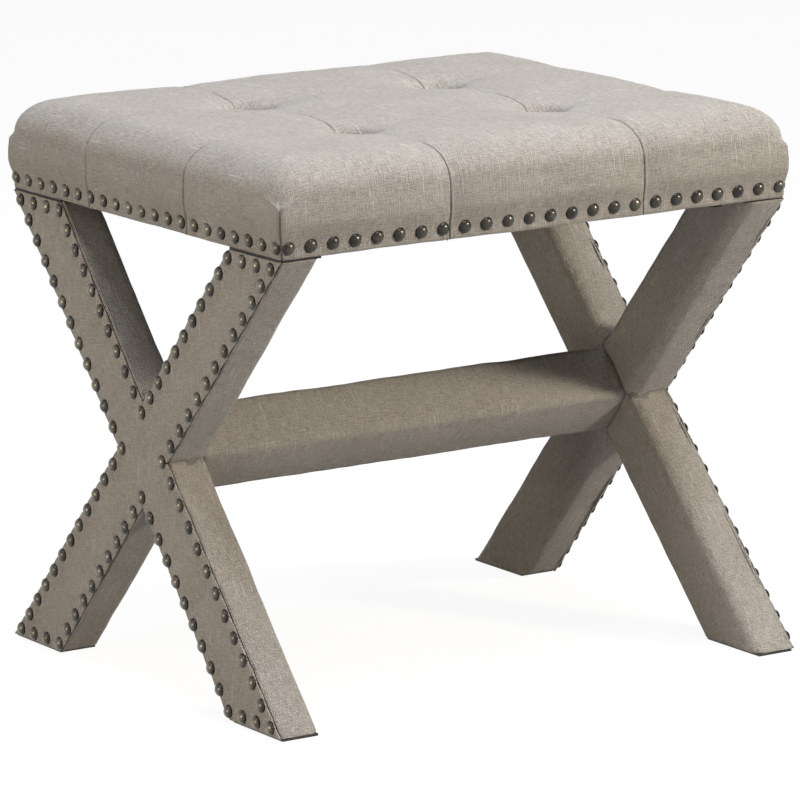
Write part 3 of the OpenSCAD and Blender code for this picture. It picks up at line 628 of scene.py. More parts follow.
def top_height(x, y, inset, fold):
    """Height of the seat's top. fold is 1 for the linen, which is folded sharply, and 0 for padding."""
    pull, dip = funnel(x, y, fold), dish(x, y)
    ex = edge_share(x, half_l - inset, EDGE_ROUND_W - inset)
    ey = edge_share(y, half_w - inset, EDGE_ROUND_W - inset)
    crown = 1 - CROWN_DIP * (1 - pillow(x, tuft_x, half_l))
    crown = crown * (1 - CROWN_DIP * (1 - pillow(y, tuft_y, half_w)))
    height = edge_z - inset + CROWN_H * (1 - pull) * crown - dip - (tuft_depth - dip) * pull
    height -= (EDGE_ROUND_H - inset) * drop_share(ex, ey)
    height -= EDGE_PINCH * (near_line(x, tuft_x, CREASE_W) * ey**2 + near_line(y, tuft_y, CREASE_W) * ex**2)
    folds = np.maximum(*fold_depths(x, y))
    lips = np.maximum(*fold_depths(x - 2 * FOLD_W, y - 2 * FOLD_W))
    side_x, side_y = half_l - np.abs(x), half_w - np.abs(y)
    seam = np.exp(-(((side_x - side_y) / FOLD_W) ** 2))
    seam = seam * smooth(SEAM_END, SEAM_FULL, np.maximum(side_x, side_y))
    return height + fold * (1 - pull) * (FOLD_LIP * lips - FOLD_DEPTH * folds) - fold * SEAM_DEPTH * seam


print("top at the middle:", round(float(top_height(0.0, 0.0, 0, 1)), 4), "m")

# %% [markdown]
# The sides swell above the nails and pull in again at the folds and the corners. The folds on the sides
# of the real seat don't hang plumb: they lean a few millimetres, to the right on the front and toward
# the back on the ends. The drift bends the form with them.

# %% Sides
SIDE_BULGE = 5.5 * MM
BULGE_RISE = (0.15, 0.6)
BULGE_EASE = 0.2
EASE_START = 0.75
CORNER_TUCK = 0.3
CREASE_TUCK = 0.55
SIDE_FOLD_SHARE = 0.8
FRONT_DRIFT = 7 * MM
END_DRIFT = 8 * MM
DRIFT_REACH = 40 * MM
DRIFT_W = 30 * MM


def side_swell(level, p, tuft, half, fold):
    """How far a side stands out at a share of its height, by its place along the side."""
    rise = smooth(*BULGE_RISE, level) * (1 - BULGE_EASE * smooth(EASE_START, 1, level))
    out = SIDE_BULGE * rise * (1 - CORNER_TUCK * (np.abs(p) / half) ** 20)
    out = out * (1 - CREASE_TUCK * near_line(p, tuft, CREASE_W))
    lips = near_line(p - 2 * FOLD_W, tuft, 2 * FOLD_W)
    return out + fold * (FOLD_LIP * lips - SIDE_FOLD_SHARE * FOLD_DEPTH * near_line(p, tuft, FOLD_W))


def drifted(s, t, x, y):
    """Move points so that the folds on the sides lean as the real ones do."""
    down_front = smooth(half_w - DRIFT_REACH, half_w, np.abs(t))
    down_side = smooth(half_l - DRIFT_REACH, half_l, np.abs(s))
    x = x + FRONT_DRIFT * down_front * near_line(s, tuft_x, DRIFT_W) * (1 - down_side)
    y = y + END_DRIFT * down_side * near_line(t, tuft_y, DRIFT_W) * (1 - down_front)
    return x, y


swell = side_swell(0.6, 0.0, tuft_y, half_w, 1)
print("a side's middle stands out by", round(float(swell), 4), "m")

# %% [markdown]
# The corners of the plan are small arcs, and the seams draw them in. All of it together gives the plan
# position of a point of the skin, from its place on the grid and its level on the side.

# %% Corners and plan
AT_EDGE = 0.9
SEAM_FADE = (1.0, 0.85)
CORNER_ROUND = 3.5 * MM


def round_corners(x, y, inset):
    """Draw each corner of the plan in to a round one."""
    cx = half_l - inset - CORNER_ROUND
    cy = half_w - inset - CORNER_ROUND
    dx = np.maximum(0, np.abs(x) - cx)
    dy = np.maximum(0, np.abs(y) - cy)
    length = np.hypot(dx, dy)
    scale = np.where(length > 0, np.maximum(dx, dy) / np.maximum(length, 1e-9), 1)
    in_corner = (dx > 0) & (dy > 0)
    x = np.where(in_corner, np.sign(x) * (cx + dx * scale), x)
    y = np.where(in_corner, np.sign(y) * (cy + dy * scale), y)
    return x, y


def plan_place(s, t, level, inset, fold):
    """Plan position of a point on the sides or the top's edge, for grid place (s, t)."""
    ex = edge_share(s, half_l - inset, EDGE_ROUND_W - inset)
    ey = edge_share(t, half_w - inset, EDGE_ROUND_W - inset)
    bulge_x = ex * side_swell(level, t, tuft_y, half_w, fold * (ex > AT_EDGE))
    bulge_y = ey * side_swell(level, s, tuft_x, half_l, fold * (ey > AT_EDGE))
    corner = np.maximum(half_l - inset - np.abs(s), half_w - inset - np.abs(t))
    seam = fold * SEAM_DEPTH * np.exp(-((corner / FOLD_W) ** 2)) * smooth(*SEAM_FADE, level)
    x = s + np.sign(s) * (bulge_x - seam)
    y = t + np.sign(t) * (bulge_y - seam)
    x, y = drifted(s, t, x, y)
    return round_corners(x, y, inset)


print("side at half its height:", round(float(plan_place(half_l, 0.0, 0.5, 0, 1)[0]), 4), "m out")

# %% [markdown]
# The form is drawn on a grid. A fold is half a millimetre wide, and an even grid that shows it would
# have millions of faces. So the lines have an even pitch on the top, and crowd together at the folds and
# toward the edge, where the form turns quickly.

# %% Grid lines
LINE_PITCH = 5 * MM
PAD_PITCH = 9 * MM
CLEAR_SHARE = 0.6
# millimetres on each side of a fold, and in from the edge
FOLD_OFFSETS = [0, 0.3, 0.6, 1.0, 1.6, 2.4, 3.6, 5.2, 7, 9, 11, 13, 14.6, 16.2, 17.8, 19.4, 21, 23, 26]
RIM_OFFSETS = [0, 0.4, 0.8, 1.7, 2.6, 3.8, 5.5, 8, 11, 14, 17.5, 21.5, 26, 30.5]


def grid_lines(half, tuft, pitch, folded):
    """Places of the grid's lines across the seat, from -half to half."""
    special = [half - offset * MM for offset in RIM_OFFSETS]
    if folded:
        special += [tuft + side * offset * MM for offset in FOLD_OFFSETS for side in (-1, 1)]
    else:
        special += [tuft]
    even = np.linspace(0, half, round(half / pitch) + 1)
    kept = [p for p in even if min(abs(p - s) for s in special) > CLEAR_SHARE * pitch or p == 0]
    places = np.unique(np.round(kept + special, 6))
    return np.concatenate([-places[:0:-1], places])


print(len(grid_lines(half_l, tuft_x, LINE_PITCH, 1)), "lines across the linen's length")

# %% [markdown]
# One function builds the skin: the top's grid, then rows of points down the sides, and last the hem
# that is turned under. The linen's lower edge sags a little under the rails. The batting and the foam
# call the function too, with a deeper inset and no folds.

# %% Seat skin
SIDE_ROWS = 22
HEM_ROUND = 1.0 * MM
HEM_SAG = 1.3 * MM
SAG_START = 0.1
HEM_TURN = (0.8, 1.57)


def seat_skin(name, inset, low, fold, pitch, material, hem):
    """The seat's form at a depth below the linen's outside, down to the height low."""
    xs = grid_lines(half_l, tuft_x, pitch, fold) * (half_l - inset) / half_l
    ys = grid_lines(half_w, tuft_y, pitch, fold) * (half_w - inset) / half_w
    s, t = (g.ravel() for g in np.meshgrid(xs, ys))
    x, y = plan_place(s, t, np.ones_like(s), inset, fold)
    points = [np.stack([x, y, top_height(s, t, inset, fold)], 1)]
    flat_s, flat_t = over_edge(s, half_l - inset), over_edge(t, half_w - inset)
    cloth = [np.stack([flat_s, flat_t], 1)]
    nx, ny = len(xs), len(ys)
    index = np.arange(nx * ny).reshape(ny, nx)
    quads = [np.stack([index[:-1, :-1], index[:-1, 1:], index[1:, 1:], index[1:, :-1]], -1).reshape(-1, 4)]
    rim = np.concatenate([index[0, :-1], index[:-1, -1], index[-1, :0:-1], index[:0:-1, 0]])
    ring, start = rim, nx * ny
    rim_s, rim_t, rim_z = s[rim], t[rim], points[0][rim, 2]
    on_end = np.abs(rim_s) >= half_l - inset - 1e-7
    rows = [(1 - k / SIDE_ROWS, 0) for k in range(1, SIDE_ROWS)]
    turn = [(0, HEM_ROUND * (1 - math.cos(a))) for a in HEM_TURN]
    under = [(0, inward) for inward in hem]
    for level, inward in rows + turn + under:
        x, y = plan_place(rim_s, rim_t, np.full(len(rim), level), inset, fold)
        shrink_x = 1 - inward / half_l
        shrink_y = 1 - inward / half_w
        z = low + (rim_z - low) * level - fold * HEM_SAG * smooth(SAG_START, 0, level)
        if level == 0:  # an arc leads into the hem, which lies flat past it
            lift = max(0.0, HEM_ROUND - inward)
            z = z + HEM_ROUND - math.sqrt(HEM_ROUND**2 - lift**2) + fold * HEM_SAG * (inward > 2 * HEM_ROUND)
        points.append(np.stack([x * shrink_x, y * shrink_y, z], 1))
        drop = rim_z - z + inward
        cloth.append(np.stack([flat_s[rim] + np.sign(rim_s) * drop * on_end,
                               flat_t[rim] + np.sign(rim_t) * drop * ~on_end], 1))
        below = start + np.arange(len(rim))
        quads.append(np.stack([ring, below, np.roll(below, -1), np.roll(ring, -1)], -1))
        ring, start = below, start + len(rim)
    piece = mesh_object(name, np.concatenate(points), np.concatenate(quads), material, np.concatenate(cloth))
    return piece, ring


print("rows from the top to the hem:", SIDE_ROWS + len(HEM_TURN))

# %% [markdown]
# ## The seat's cover
# The linen's own unevenness comes last: broad soft waves, and finer puckers round each tuft.

# %% Seat cover
HEM_LINES = [5 * MM, 11 * MM, 18 * MM]
PUCKER_R = 22 * MM
PUCKER_W = 20 * MM


def tuft_share(place):
    """Strongest just outside a tuft, fading toward the middle of the panels."""
    if place.z <= edge_z - EDGE_ROUND_H:
        return 0.0
    reach = math.hypot(abs(place.x) - tuft_x, abs(place.y) - tuft_y)
    return math.exp(-((reach - PUCKER_R) / PUCKER_W) ** 2)


SEAT_WAVES = [(0.7 * MM, 60 * MM), (0.35 * MM, 18 * MM), (0.8 * MM, 9 * MM, tuft_share)]
seat_middle = Vector((0, 0, seat_low + SEAT_H / 2))
seat_cover, _ = seat_skin("seat_cover_linen", 0, seat_low, 1, LINE_PITCH, LINEN, HEM_LINES)
face_out(seat_cover, lambda c: c - seat_middle)
ripple(seat_cover, *SEAT_WAVES)
thicken(seat_cover, LINEN_T)
hand_over(seat_cover, "linen", "seat_cover")
print("seat cover:", len(seat_cover.data.polygons), "faces")

# %% [markdown]
# ## The X frames' skins
# Each frame is two crossed legs under one linen skin that wraps their sides and inner face. The skin is
# four arms that meet on the lines midway between them, so all four are built alike from one section, and
# mirrored. Two crossed boxes joined into one would be simpler, but their rows of points wouldn't follow
# the arms. Here a section is drawn across the arm, and each of its points runs along the arm from the
# line where it meets its neighbour to the level cut at the seat or the floor. The whole frame then leans.

# %% X frame sizes
SIDES = [(-1, "left"), (1, "right")]
LEG_LEVEL_W = 77 * MM
LEG_D = 38 * MM
LEG_ROUND = 10 * MM
SPLAY = 8.7 * MM
FACE_PROUD = 0.7 * MM
TOP_SET_IN = 0.5 * MM
FOOT_REACH = 4 * MM
LEG_PAD = 1 * MM

cover_low, cover_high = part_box("left_base_cover")
base_low, base_top = cover_low.z, cover_high.z
top_c = half_w - TOP_SET_IN - LEG_LEVEL_W / 2
foot_c = top_c + FOOT_REACH
lean = math.atan(SPLAY / base_top)
leg_angle = math.atan((foot_c + top_c) / base_top)
leg_w = LEG_LEVEL_W * math.cos(leg_angle)
cross_z = base_top * foot_c / (foot_c + top_c)
foot_face = half_l + FACE_PROUD + SPLAY
print(f"leg angle {math.degrees(leg_angle):.2f}, width {leg_w:.4f}, crossing at {cross_z:.4f}")

# %% [markdown]
# A place on an arm is t across it and s along it from the crossing. The frame is drawn upright, with its
# depth measured from the outer face, and then leaned with its feet outward.

# %% Places on an arm
def leaned(side, depth, y, z):
    """World place of a point of the upright frame drawing: depth is measured from its outer face."""
    x = -foot_face + depth * math.cos(lean) + z * math.sin(lean)
    return side * -x, y, z * math.cos(lean) - depth * math.sin(lean)


def arm_place(side, y_way, up, depth, t, s):
    """World place at t across and s along one of the four arms."""
    y = y_way * (t * math.cos(leg_angle) + s * math.sin(leg_angle))
    z = cross_z + up * (s * math.cos(leg_angle) - t * math.sin(leg_angle))
    return leaned(side, depth, y, z)


def arm_start(t):
    """Where a line at t across the arm meets the arm beside it."""
    return abs(t) / math.tan(leg_angle) if t < 0 else t * math.tan(leg_angle)


def arm_end(up, depth, t, inset):
    """Where a line of an arm meets the level cut at the seat or the floor."""
    level = base_top - inset if up > 0 else base_low + inset
    z = (level + depth * math.sin(lean)) / math.cos(lean)
    return (abs(z - cross_z) + t * math.sin(leg_angle)) / math.cos(leg_angle)


print("length of an upper and a lower arm:", [round(arm_end(up, 0, 0, 0), 4) for up in (1, -1)], "m")

# %% [markdown]
# The arms are made as strips and merged where they meet. Their rows are even, apart from three close
# ones at the seat or the floor. Those draw in to round the arm's end, less so on the outer face, and one
# face closes it.

# %% Four arms
ARM_ROWS = 60
NAIL_PITCH = 20 * MM
EDGE_BAND = 2 * MM
END_ROUND = 1.0 * MM
END_STEPS = [(0.0, 1.0), (0.30, 0.30), (1.0, 0.0)]
FACE_DRAW = 0.3


def arm_strips(side, section, end_inset, waver=0):
    """Points, faces and cloth places of four arms. section(inset) gives (depth, t, cloth u) triples.

    waver is how far the edges draw in, more and less by turns, from one nail to the next.
    """
    points, faces, cloth = [], [], []
    for y_way in (1, -1):
        for up in (1, -1):
            first = len(points)
            rows = [(k / ARM_ROWS, 0.0, END_ROUND) for k in range(ARM_ROWS)]
            rows += [(1.0, draw * END_ROUND, back * END_ROUND) for draw, back in END_STEPS]
            for share, draw, back in rows:
                for depth, t, u in section(draw):
                    begin = arm_start(t)
                    end = arm_end(up, depth, t, end_inset) - back
                    s = begin + share * (end - begin)
                    if abs(t) > leg_w / 2 - EDGE_BAND:
                        draw_in = waver * (0.6 + 0.4 * math.sin(2 * math.pi * s / NAIL_PITCH))
                        t -= math.copysign(draw_in, t)
                    points.append(arm_place(side, y_way, up, depth, t, s))
                    cloth.append((u * y_way, s * up))
            wide = len(section(0))
            for row in range(len(rows) - 1):
                for k in range(wide - 1):
                    a = first + row * wide + k
                    faces.append((a, a + 1, a + wide + 1, a + wide))
            faces.append([first + (len(rows) - 1) * wide + k for k in range(wide)])
    return points, faces, cloth


print("arms have", ARM_ROWS + len(END_STEPS), "rows")

# %% [markdown]
# The wrapped skin's edge is tucked in behind the outer panel. From there the skin goes up one side,
# round the rounded inner edges and down the other side. Its padding has the same section, only smaller.

# %% X frame skins
# depth and distance in from the side, of the tucked edge's points, and depths of the side's points
TUCKED_EDGE = [(2.6 * MM, 1.5 * MM), (1.1 * MM, 0.9 * MM), (0.5 * MM, 0.3 * MM)]
SIDE_DEPTHS = [1.4 * MM, 5 * MM, 10 * MM, 15 * MM, 20 * MM]
INNER_SHARES = (0.75, 0.5, 0.25)
ROUND_POINTS = 9
BASE_WAVES = [(0.7 * MM, 45 * MM), (0.35 * MM, 14 * MM)]


def wrapped_section(outer_inset, start):
    """The section of the wrapped skin: up one side, round the inner edges and down the other side."""

    def section(draw):
        inset = outer_inset + draw
        w = leg_w / 2 - inset
        d = LEG_D - inset
        r = LEG_ROUND - inset
        lip = start + draw * FACE_DRAW
        half = [(lip + step, w - back) for step, back in TUCKED_EDGE]
        half += [(lip + step, w) for step in SIDE_DEPTHS]
        angles = np.linspace(0, math.pi / 2, ROUND_POINTS)
        half += [(d - r + r * math.sin(a), w - r + r * math.cos(a)) for a in angles]
        half += [(d, (w - r) * share) for share in INNER_SHARES]
        loop = [(depth, -t) for depth, t in half] + [(d, 0)] + [(depth, t) for depth, t in reversed(half)]
        steps = [0] + [math.dist(p, q) for p, q in zip(loop, loop[1:])]
        along = np.cumsum(steps) - sum(steps) / 2
        return [(depth, t, u) for (depth, t), u in zip(loop, along)]

    return section


def frame_skin(name, side, outer_inset, start, end_inset, material, thickness):
    points, faces, cloth = arm_strips(side, wrapped_section(outer_inset, start), end_inset)
    piece = mesh_object(name, points, faces, material, cloth)
    join_points(piece)
    face_out(piece, lambda c: Vector((-side, 0, 0)))
    thicken(piece, thickness)
    return piece


for side, word in SIDES:
    cover = frame_skin(f"{word}_base_linen", side, 0, LINEN_T, 0, LINEN, LINEN_T)
    ripple(cover, *BASE_WAVES)
    hand_over(cover, "linen", f"{word}_base_cover")
    print(cover.name, len(cover.data.polygons), "faces")

# %% [markdown]
# ## Outer panels
# The outside of each frame is closed by an X cut from one piece of linen. Its edges are folded under and
# nailed down all the way round, so they roll in and waver a little, which leaves the dark line that
# runs beside the nails. The arms' own strips serve again, with a section that is a thin plate. Here the
# cloth's threads stand upright, not along the legs, because the X is one piece.

# %% Outer panels
PANEL_EDGE = 1.3 * MM
PANEL_TUCK = 0.3 * MM
EDGE_WAVER = 1.1 * MM
ROLL_TURN = 1.57
ROLL_POINTS = 5
PANEL_SHARES = (0.93, 0.84, 0.72, 0.6, 0.45, 0.3, 0.15)


def panel_section(draw):
    """A thin closed plate: the face in front, rolled edges, and the back."""
    w = leg_w / 2 - draw
    face = draw * FACE_DRAW
    angles = np.linspace(0, ROLL_TURN, ROLL_POINTS)
    half = [(LINEN_T, w - PANEL_TUCK)]
    half += [(PANEL_EDGE * (1 - math.sin(a)), w - PANEL_EDGE * (1 - math.cos(a))) for a in angles]
    half += [(face, share * (w - PANEL_EDGE)) for share in PANEL_SHARES]
    loop = [(depth, -t) for depth, t in half] + [(face, 0)] + [(depth, t) for depth, t in reversed(half)]
    loop.append(loop[0])
    return [(depth, t, 0) for depth, t in loop]


def outer_panel(word, side):
    points, faces, _ = arm_strips(side, panel_section, 0, EDGE_WAVER)
    cloth = [(y, z) for _, y, z in points]
    piece = mesh_object(f"{word}_panel_linen", points, faces, LINEN, cloth)
    join_points(piece)
    hand_over(piece, "linen", f"{word}_outer_panel")
    return piece


for side, word in SIDES:
    panel = outer_panel(word, side)

# %% [markdown]
# ## The stretcher
# A bar of diamond section, padded and wrapped in linen, runs between the crossings. A turned and
# bevelled box would have flat sides. This section is a diamond whose corners are arcs and whose sides are
# puffed out a little by the padding.

# %% Diamond section
STRETCHER_H = 68 * MM
STRETCHER_W = 61 * MM
RIDGE_ROUND = 8 * MM
PUFF = 1.3 * MM
SIDE_SHARES = (0.1, 0.25, 0.4, 0.55, 0.7, 0.85)


def diamond(inset):
    """Points (y, z) in order round a diamond with rounded corners and puffed sides."""
    w, h, r = STRETCHER_W - 2 * inset, STRETCHER_H - 2 * inset, RIDGE_ROUND - inset
    tip = math.atan(w / h)
    loop = []
    for middle, turn, spread in (((0, h / 2 - r), math.pi / 2, math.pi / 2 - tip),
                                 ((r - w / 2, 0), math.pi, tip),
                                 ((0, r - h / 2), 1.5 * math.pi, math.pi / 2 - tip),
                                 ((w / 2 - r, 0), 0, tip)):
        for a in np.linspace(turn - spread, turn + spread, ROUND_POINTS):
            loop.append((middle[0] + r * math.cos(a), middle[1] + r * math.sin(a)))
        loop.append(None)
    full = []
    for k, p in enumerate(loop):
        if p is None:
            a, b = loop[k - 1], loop[(k + 1) % len(loop)]
            for share in SIDE_SHARES:
                y, z = a[0] + (b[0] - a[0]) * share, a[1] + (b[1] - a[1]) * share
                puff = 1 + PUFF * math.sin(math.pi * share) / math.hypot(y, z)
                full.append((y * puff, z * puff))
        else:
            full.append(p)
    return full


outline = diamond(0)
girth = sum(math.dist(p, q) for p, q in zip(outline, outline[1:] + outline[:1]))
print(len(outline), "points round the section, girth", round(girth, 3), "m")

# %% [markdown]
# The bar is a row of these sections from one frame to the other. Its ends follow the frames' lean.

# %% Stretcher
STRETCHER_PAD = 4 * MM
STRETCHER_ROWS = 90
STRETCHER_WAVES = [(0.9 * MM, 50 * MM), (0.35 * MM, 15 * MM)]


def inner_face(z):
    """Distance from the middle of the bench to a frame's inner face."""
    return foot_face - LEG_D / math.cos(lean) - z * math.tan(lean)


def stretcher_skin(name, inset, material, thickness):
    loop = diamond(inset)
    lengths = [math.dist(p, loop[(k + 1) % len(loop)]) for k, p in enumerate(loop)]
    along = np.concatenate([[0], np.cumsum(lengths)[:-1]])
    points, cloth, faces = [], [], []
    for row in range(STRETCHER_ROWS + 1):
        share = 2 * row / STRETCHER_ROWS - 1
        for (y, z), v in zip(loop, along):
            x = share * inner_face(cross_z + z)
            points.append((x, y, cross_z + z))
            cloth.append((x, v))
    n = len(loop)
    for row in range(STRETCHER_ROWS):
        for k in range(n):
            a, b = row * n + k, row * n + (k + 1) % n
            faces.append((a, b, b + n, a + n))
    piece = mesh_object(name, points, faces, material, cloth)
    face_out(piece, lambda c: Vector((0, c.y, c.z - cross_z)))
    thicken(piece, thickness)
    return piece


stretcher = stretcher_skin("stretcher_linen", 0, LINEN, LINEN_T)
ripple(stretcher, *STRETCHER_WAVES)
hand_over(stretcher, "linen", "stretcher_cover")
stretcher_length = 2 * inner_face(cross_z)
print("stretcher", round(stretcher_length, 3), "m long,", len(stretcher.data.polygons), "faces")

# %% [markdown]
# ## Nails
# The nails are domed heads of bronze, darkened with age and worn bright on top. The metal is brighter
# and smoother where an attribute called dome is high, in patches, and a thin coat of wax gives each nail
# its small white highlight. The dome attribute also carries each row's painted shade.

# %% Bronze
def bronze(name):
    """Old bronze: dark in the rim's shelter, a little brighter and smoother on the dome."""
    f = Finish(name, Metallic=1.0, Coat_Weight=0.6, Coat_Roughness=0.13)
    place = f.place()
    patch = f.noise(f.scaled(place, 260), detail=3.0, rough=0.6)
    each = f.noise(f.scaled(place, 45), detail=0.0)
    dome = f.node("ShaderNodeAttribute", {"attribute_name": "dome"}, "Fac")
    # real wear on the domes and in patches, plus the painted shade that a row puts into the dome attribute
    wear_and_row_shade = f.between(dome + (patch - 0.5) * 0.8 + (each - 0.5) * 0.6, 0.35, 1.05)
    f.drive("Base Color", f.ramp(wear_and_row_shade, (0.0, (0.018, 0.014, 0.010)), (0.5, (0.070, 0.059, 0.042)),
                                 (1.0, (0.180, 0.160, 0.120))))
    f.drive("Roughness", 0.38 - wear_and_row_shade * 0.10)
    f.bump(f.noise(f.scaled(place, 900), detail=2.0), 0.12 * MM, strength=0.5)
    return f.material


BRONZE = bronze("antique_bronze")
print("bronze made")

# %% [markdown]
# One nail is turned round its axis: a shank, a hollow under the head, a thin rim and the dome, which is a
# cap of a ball. Half a ball would do from far off, but it is higher and has no rim.

# %% One nail
NAIL_R = 5.6 * MM
NAIL_H = 3.8 * MM
NAIL_TURNS = 20
DOME_RINGS = 7
TOP_ANGLE = 0.12
RIM_W_SHARE = 0.9
RIM_LIFT = 0.25 * MM
HOLLOW = 0.6 * MM
SHANK_R = 0.75 * MM
SHANK_L = 10 * MM


def nail_mesh():
    """A nail along +Z with its head's foot at zero: points, faces and how high each lies on the dome."""
    ball = (NAIL_R**2 + NAIL_H**2) / (2 * NAIL_H)
    angles = np.linspace(math.asin(NAIL_R / ball), TOP_ANGLE, DOME_RINGS)
    rings = [(SHANK_R, -SHANK_L), (SHANK_R, HOLLOW), (NAIL_R * RIM_W_SHARE, RIM_LIFT), (NAIL_R, 0.0)]
    rings += [(ball * math.sin(a), NAIL_H - ball + ball * math.cos(a)) for a in angles[1:]]
    points, dome = [], []
    for radius, z in rings:
        for k in range(NAIL_TURNS):
            turn = 2 * math.pi * k / NAIL_TURNS
            points.append((radius * math.cos(turn), radius * math.sin(turn), z))
            dome.append(max(0.0, z / NAIL_H))
    faces = []
    for ring in range(len(rings) - 1):
        for k in range(NAIL_TURNS):
            a, b = ring * NAIL_TURNS + k, ring * NAIL_TURNS + (k + 1) % NAIL_TURNS
            faces.append((a, b, b + NAIL_TURNS, a + NAIL_TURNS))
    last = (len(rings) - 1) * NAIL_TURNS
    faces.append(tuple(range(last, last + NAIL_TURNS)))
    faces.append(tuple(range(NAIL_TURNS - 1, -1, -1)))
    return np.array(points), faces, dome


print("one nail:", len(nail_mesh()[1]), "faces")

# %% [markdown]
# The rows could be laid out again here by their pitch. It is safer to ask the construction model where
# each nail is: its nails are found as separate lumps of mesh, and the top of a lump's head gives the
# place of the head's foot.

# %% Places of the nails
WELD_GAP = 0.002 * MM
HEAD_SHARE = 0.8


def lumps(node):
    """The separate solids of a piece of the construction model, each as an array of points."""
    work = bmesh.new()
    work.from_mesh(cad_nodes[node].data)
    bmesh.ops.remove_doubles(work, verts=work.verts, dist=WELD_GAP)
    left, found = set(work.verts), []
    while left:
        stack, lump = [left.pop()], []
        while stack:
            vertex = stack.pop()
            lump.append(tuple(vertex.co))
            for edge in vertex.link_edges:
                other = edge.other_vert(vertex)
                if other in left:
                    left.remove(other)
                    stack.append(other)
        found.append(np.array(lump))
    work.free()
    return sorted(found, key=lambda points: tuple(np.round(points.mean(0), 4)))


def head_feet(node, axis):
    """Where the foot of each nail head's axis is. axis is the way the heads point."""
    axis = np.array(axis)
    feet = []
    for points in lumps(node):
        along = points @ axis
        head = points[along > along.max() - HEAD_SHARE * NAIL_H]
        middle = (head.min(0) + head.max(0)) / 2
        feet.append(Vector(middle + axis * (along.max() - NAIL_H - middle @ axis)))
    return feet


print(len(head_feet("front_seat_nails", (0, -1, 0))), "nails along the front")

# %% [markdown]
# A finer nail takes the place of each. They come from one punch, but none sits quite straight. The
# seat's front and back rows get darker domes than the rest, which is painted shade for their darker
# reflections.

# %% Rows of nails
NAIL_TIP = math.radians(2.5)
# painted shade: the seat's front and back rows keep only this share of their domes' brightness
FRONT_ROW_PAINTED_SHADE = 0.6


def nail_row(name, node, axis, rng, painted_row_light=1.0):
    """All the nails of one piece of the model, each a little turned and tipped."""
    shape, shape_faces, shape_dome = nail_mesh()
    upright = Vector((0, 0, 1)).rotation_difference(Vector(axis)).to_matrix()
    points, faces, dome = [], [], []
    for foot in head_feet(node, axis):
        tip_x, tip_y = rng.normal(0, NAIL_TIP, 2)
        tip = Matrix.Rotation(tip_x, 3, "X") @ Matrix.Rotation(tip_y, 3, "Y")
        turn = upright @ tip @ Matrix.Rotation(rng.uniform(0, 2 * math.pi), 3, "Z")
        moved = shape @ np.array(turn).T + np.array(foot)
        faces += [tuple(i + len(points) for i in face) for face in shape_faces]
        points += list(moved)
        # painted shade: a row's share scales the dome attribute, which the bronze's colour follows
        dome += [rise * painted_row_light for rise in shape_dome]
    piece = mesh_object(name, points, faces, BRONZE)
    piece.data.attributes.new("dome", "FLOAT", "POINT").data.foreach_set("value", dome)
    hand_over(piece, "antique_bronze", node)
    return piece


rng = np.random.default_rng(11)
rows = {"front": (0, -1, 0), "back": (0, 1, 0), "left": (-1, 0, 0), "right": (1, 0, 0)}
for word, axis in rows.items():
    row = nail_row(f"{word}_seat_nail_row", f"{word}_seat_nails", axis, rng, FRONT_ROW_PAINTED_SHADE if axis[1] else 1.0)
    print(row.name, len(row.data.polygons), "faces")
for side, word in SIDES:
    axis = (side * math.cos(lean), 0, math.sin(lean))
    row = nail_row(f"{word}_frame_nail_row", f"{word}_base_nails", axis, rng)
    print(row.name, len(row.data.polygons), "faces")

# %% [markdown]
# ## Buttons and padding
# A linen button sits at the bottom of each tuft. Its cloth is gathered round the edge in small pleats,
# which are a wave on its radius that fades toward the top.

# %% Buttons
BUTTON_H = 6 * MM
BUTTON_PLEATS = 14
PLEAT_SHARE = 0.05
FIT_SHARE = 0.97
# radius and height of the button's rings, as shares of its own
BUTTON_SHARES = [(1.0, 0.0), (1.03, 0.18), (0.98, 0.42), (0.86, 0.64), (0.66, 0.83), (0.4, 0.96),
                 (0.15, 1.0)]


def tuft_buttons():
    points, faces, cloth = [], [], []
    turns = 3 * BUTTON_PLEATS
    for x in (-tuft_x, tuft_x):
        for y in (-tuft_y, tuft_y):
            first = len(points)
            for radius, rise in BUTTON_SHARES:
                for k in range(turns):
                    a = 2 * math.pi * k / turns
                    pleat = 1 + PLEAT_SHARE * math.cos(BUTTON_PLEATS * a) * (1 - rise)
                    r = BUTTON_R * radius * pleat * FIT_SHARE
                    points.append((x + r * math.cos(a), y + r * math.sin(a), tuft_low + BUTTON_H * rise))
                    cloth.append((x + r * math.cos(a), y + r * math.sin(a)))
            for ring in range(len(BUTTON_SHARES) - 1):
                for k in range(turns):
                    a, b = first + ring * turns + k, first + ring * turns + (k + 1) % turns
                    faces.append((a, b, b + turns, a + turns))
            last = first + (len(BUTTON_SHARES) - 1) * turns
            faces.append(list(range(last, last + turns)))
            faces.append(list(range(first + turns - 1, first - 1, -1)))
    return mesh_object("tuft_button_linen", points, faces, LINEN, cloth)


buttons = tuft_buttons()
hand_over(buttons, "linen", "tuft_buttons")
print("buttons:", len(buttons.data.polygons), "faces")

# %% [markdown]
# Under the cloth lie batting and foam. They never show, so they need little: batting is matted white
# fibre and foam is an even sponge, and one finish with larger or smaller pores does for both.

# %% Fibre and foam
def matted(name, colour, pore, depth):
    """Fibre or foam: one colour, clouded a little, with a soft bump of the given pore size."""
    f = Finish(name, Roughness=0.95, Specular_IOR_Level=0.1)
    place = f.place()
    cloud = f.noise(f.scaled(place, 30))
    pores = f.noise(f.scaled(place, 1 / pore), detail=3.0)
    shade = f.between(pores + (cloud - 0.5) * 0.4, 0.3, 0.7)
    f.drive("Base Color", f.ramp(shade, (0, tuple(0.8 * c for c in colour)), (1, colour)))
    f.bump(pores, depth)
    return f.material


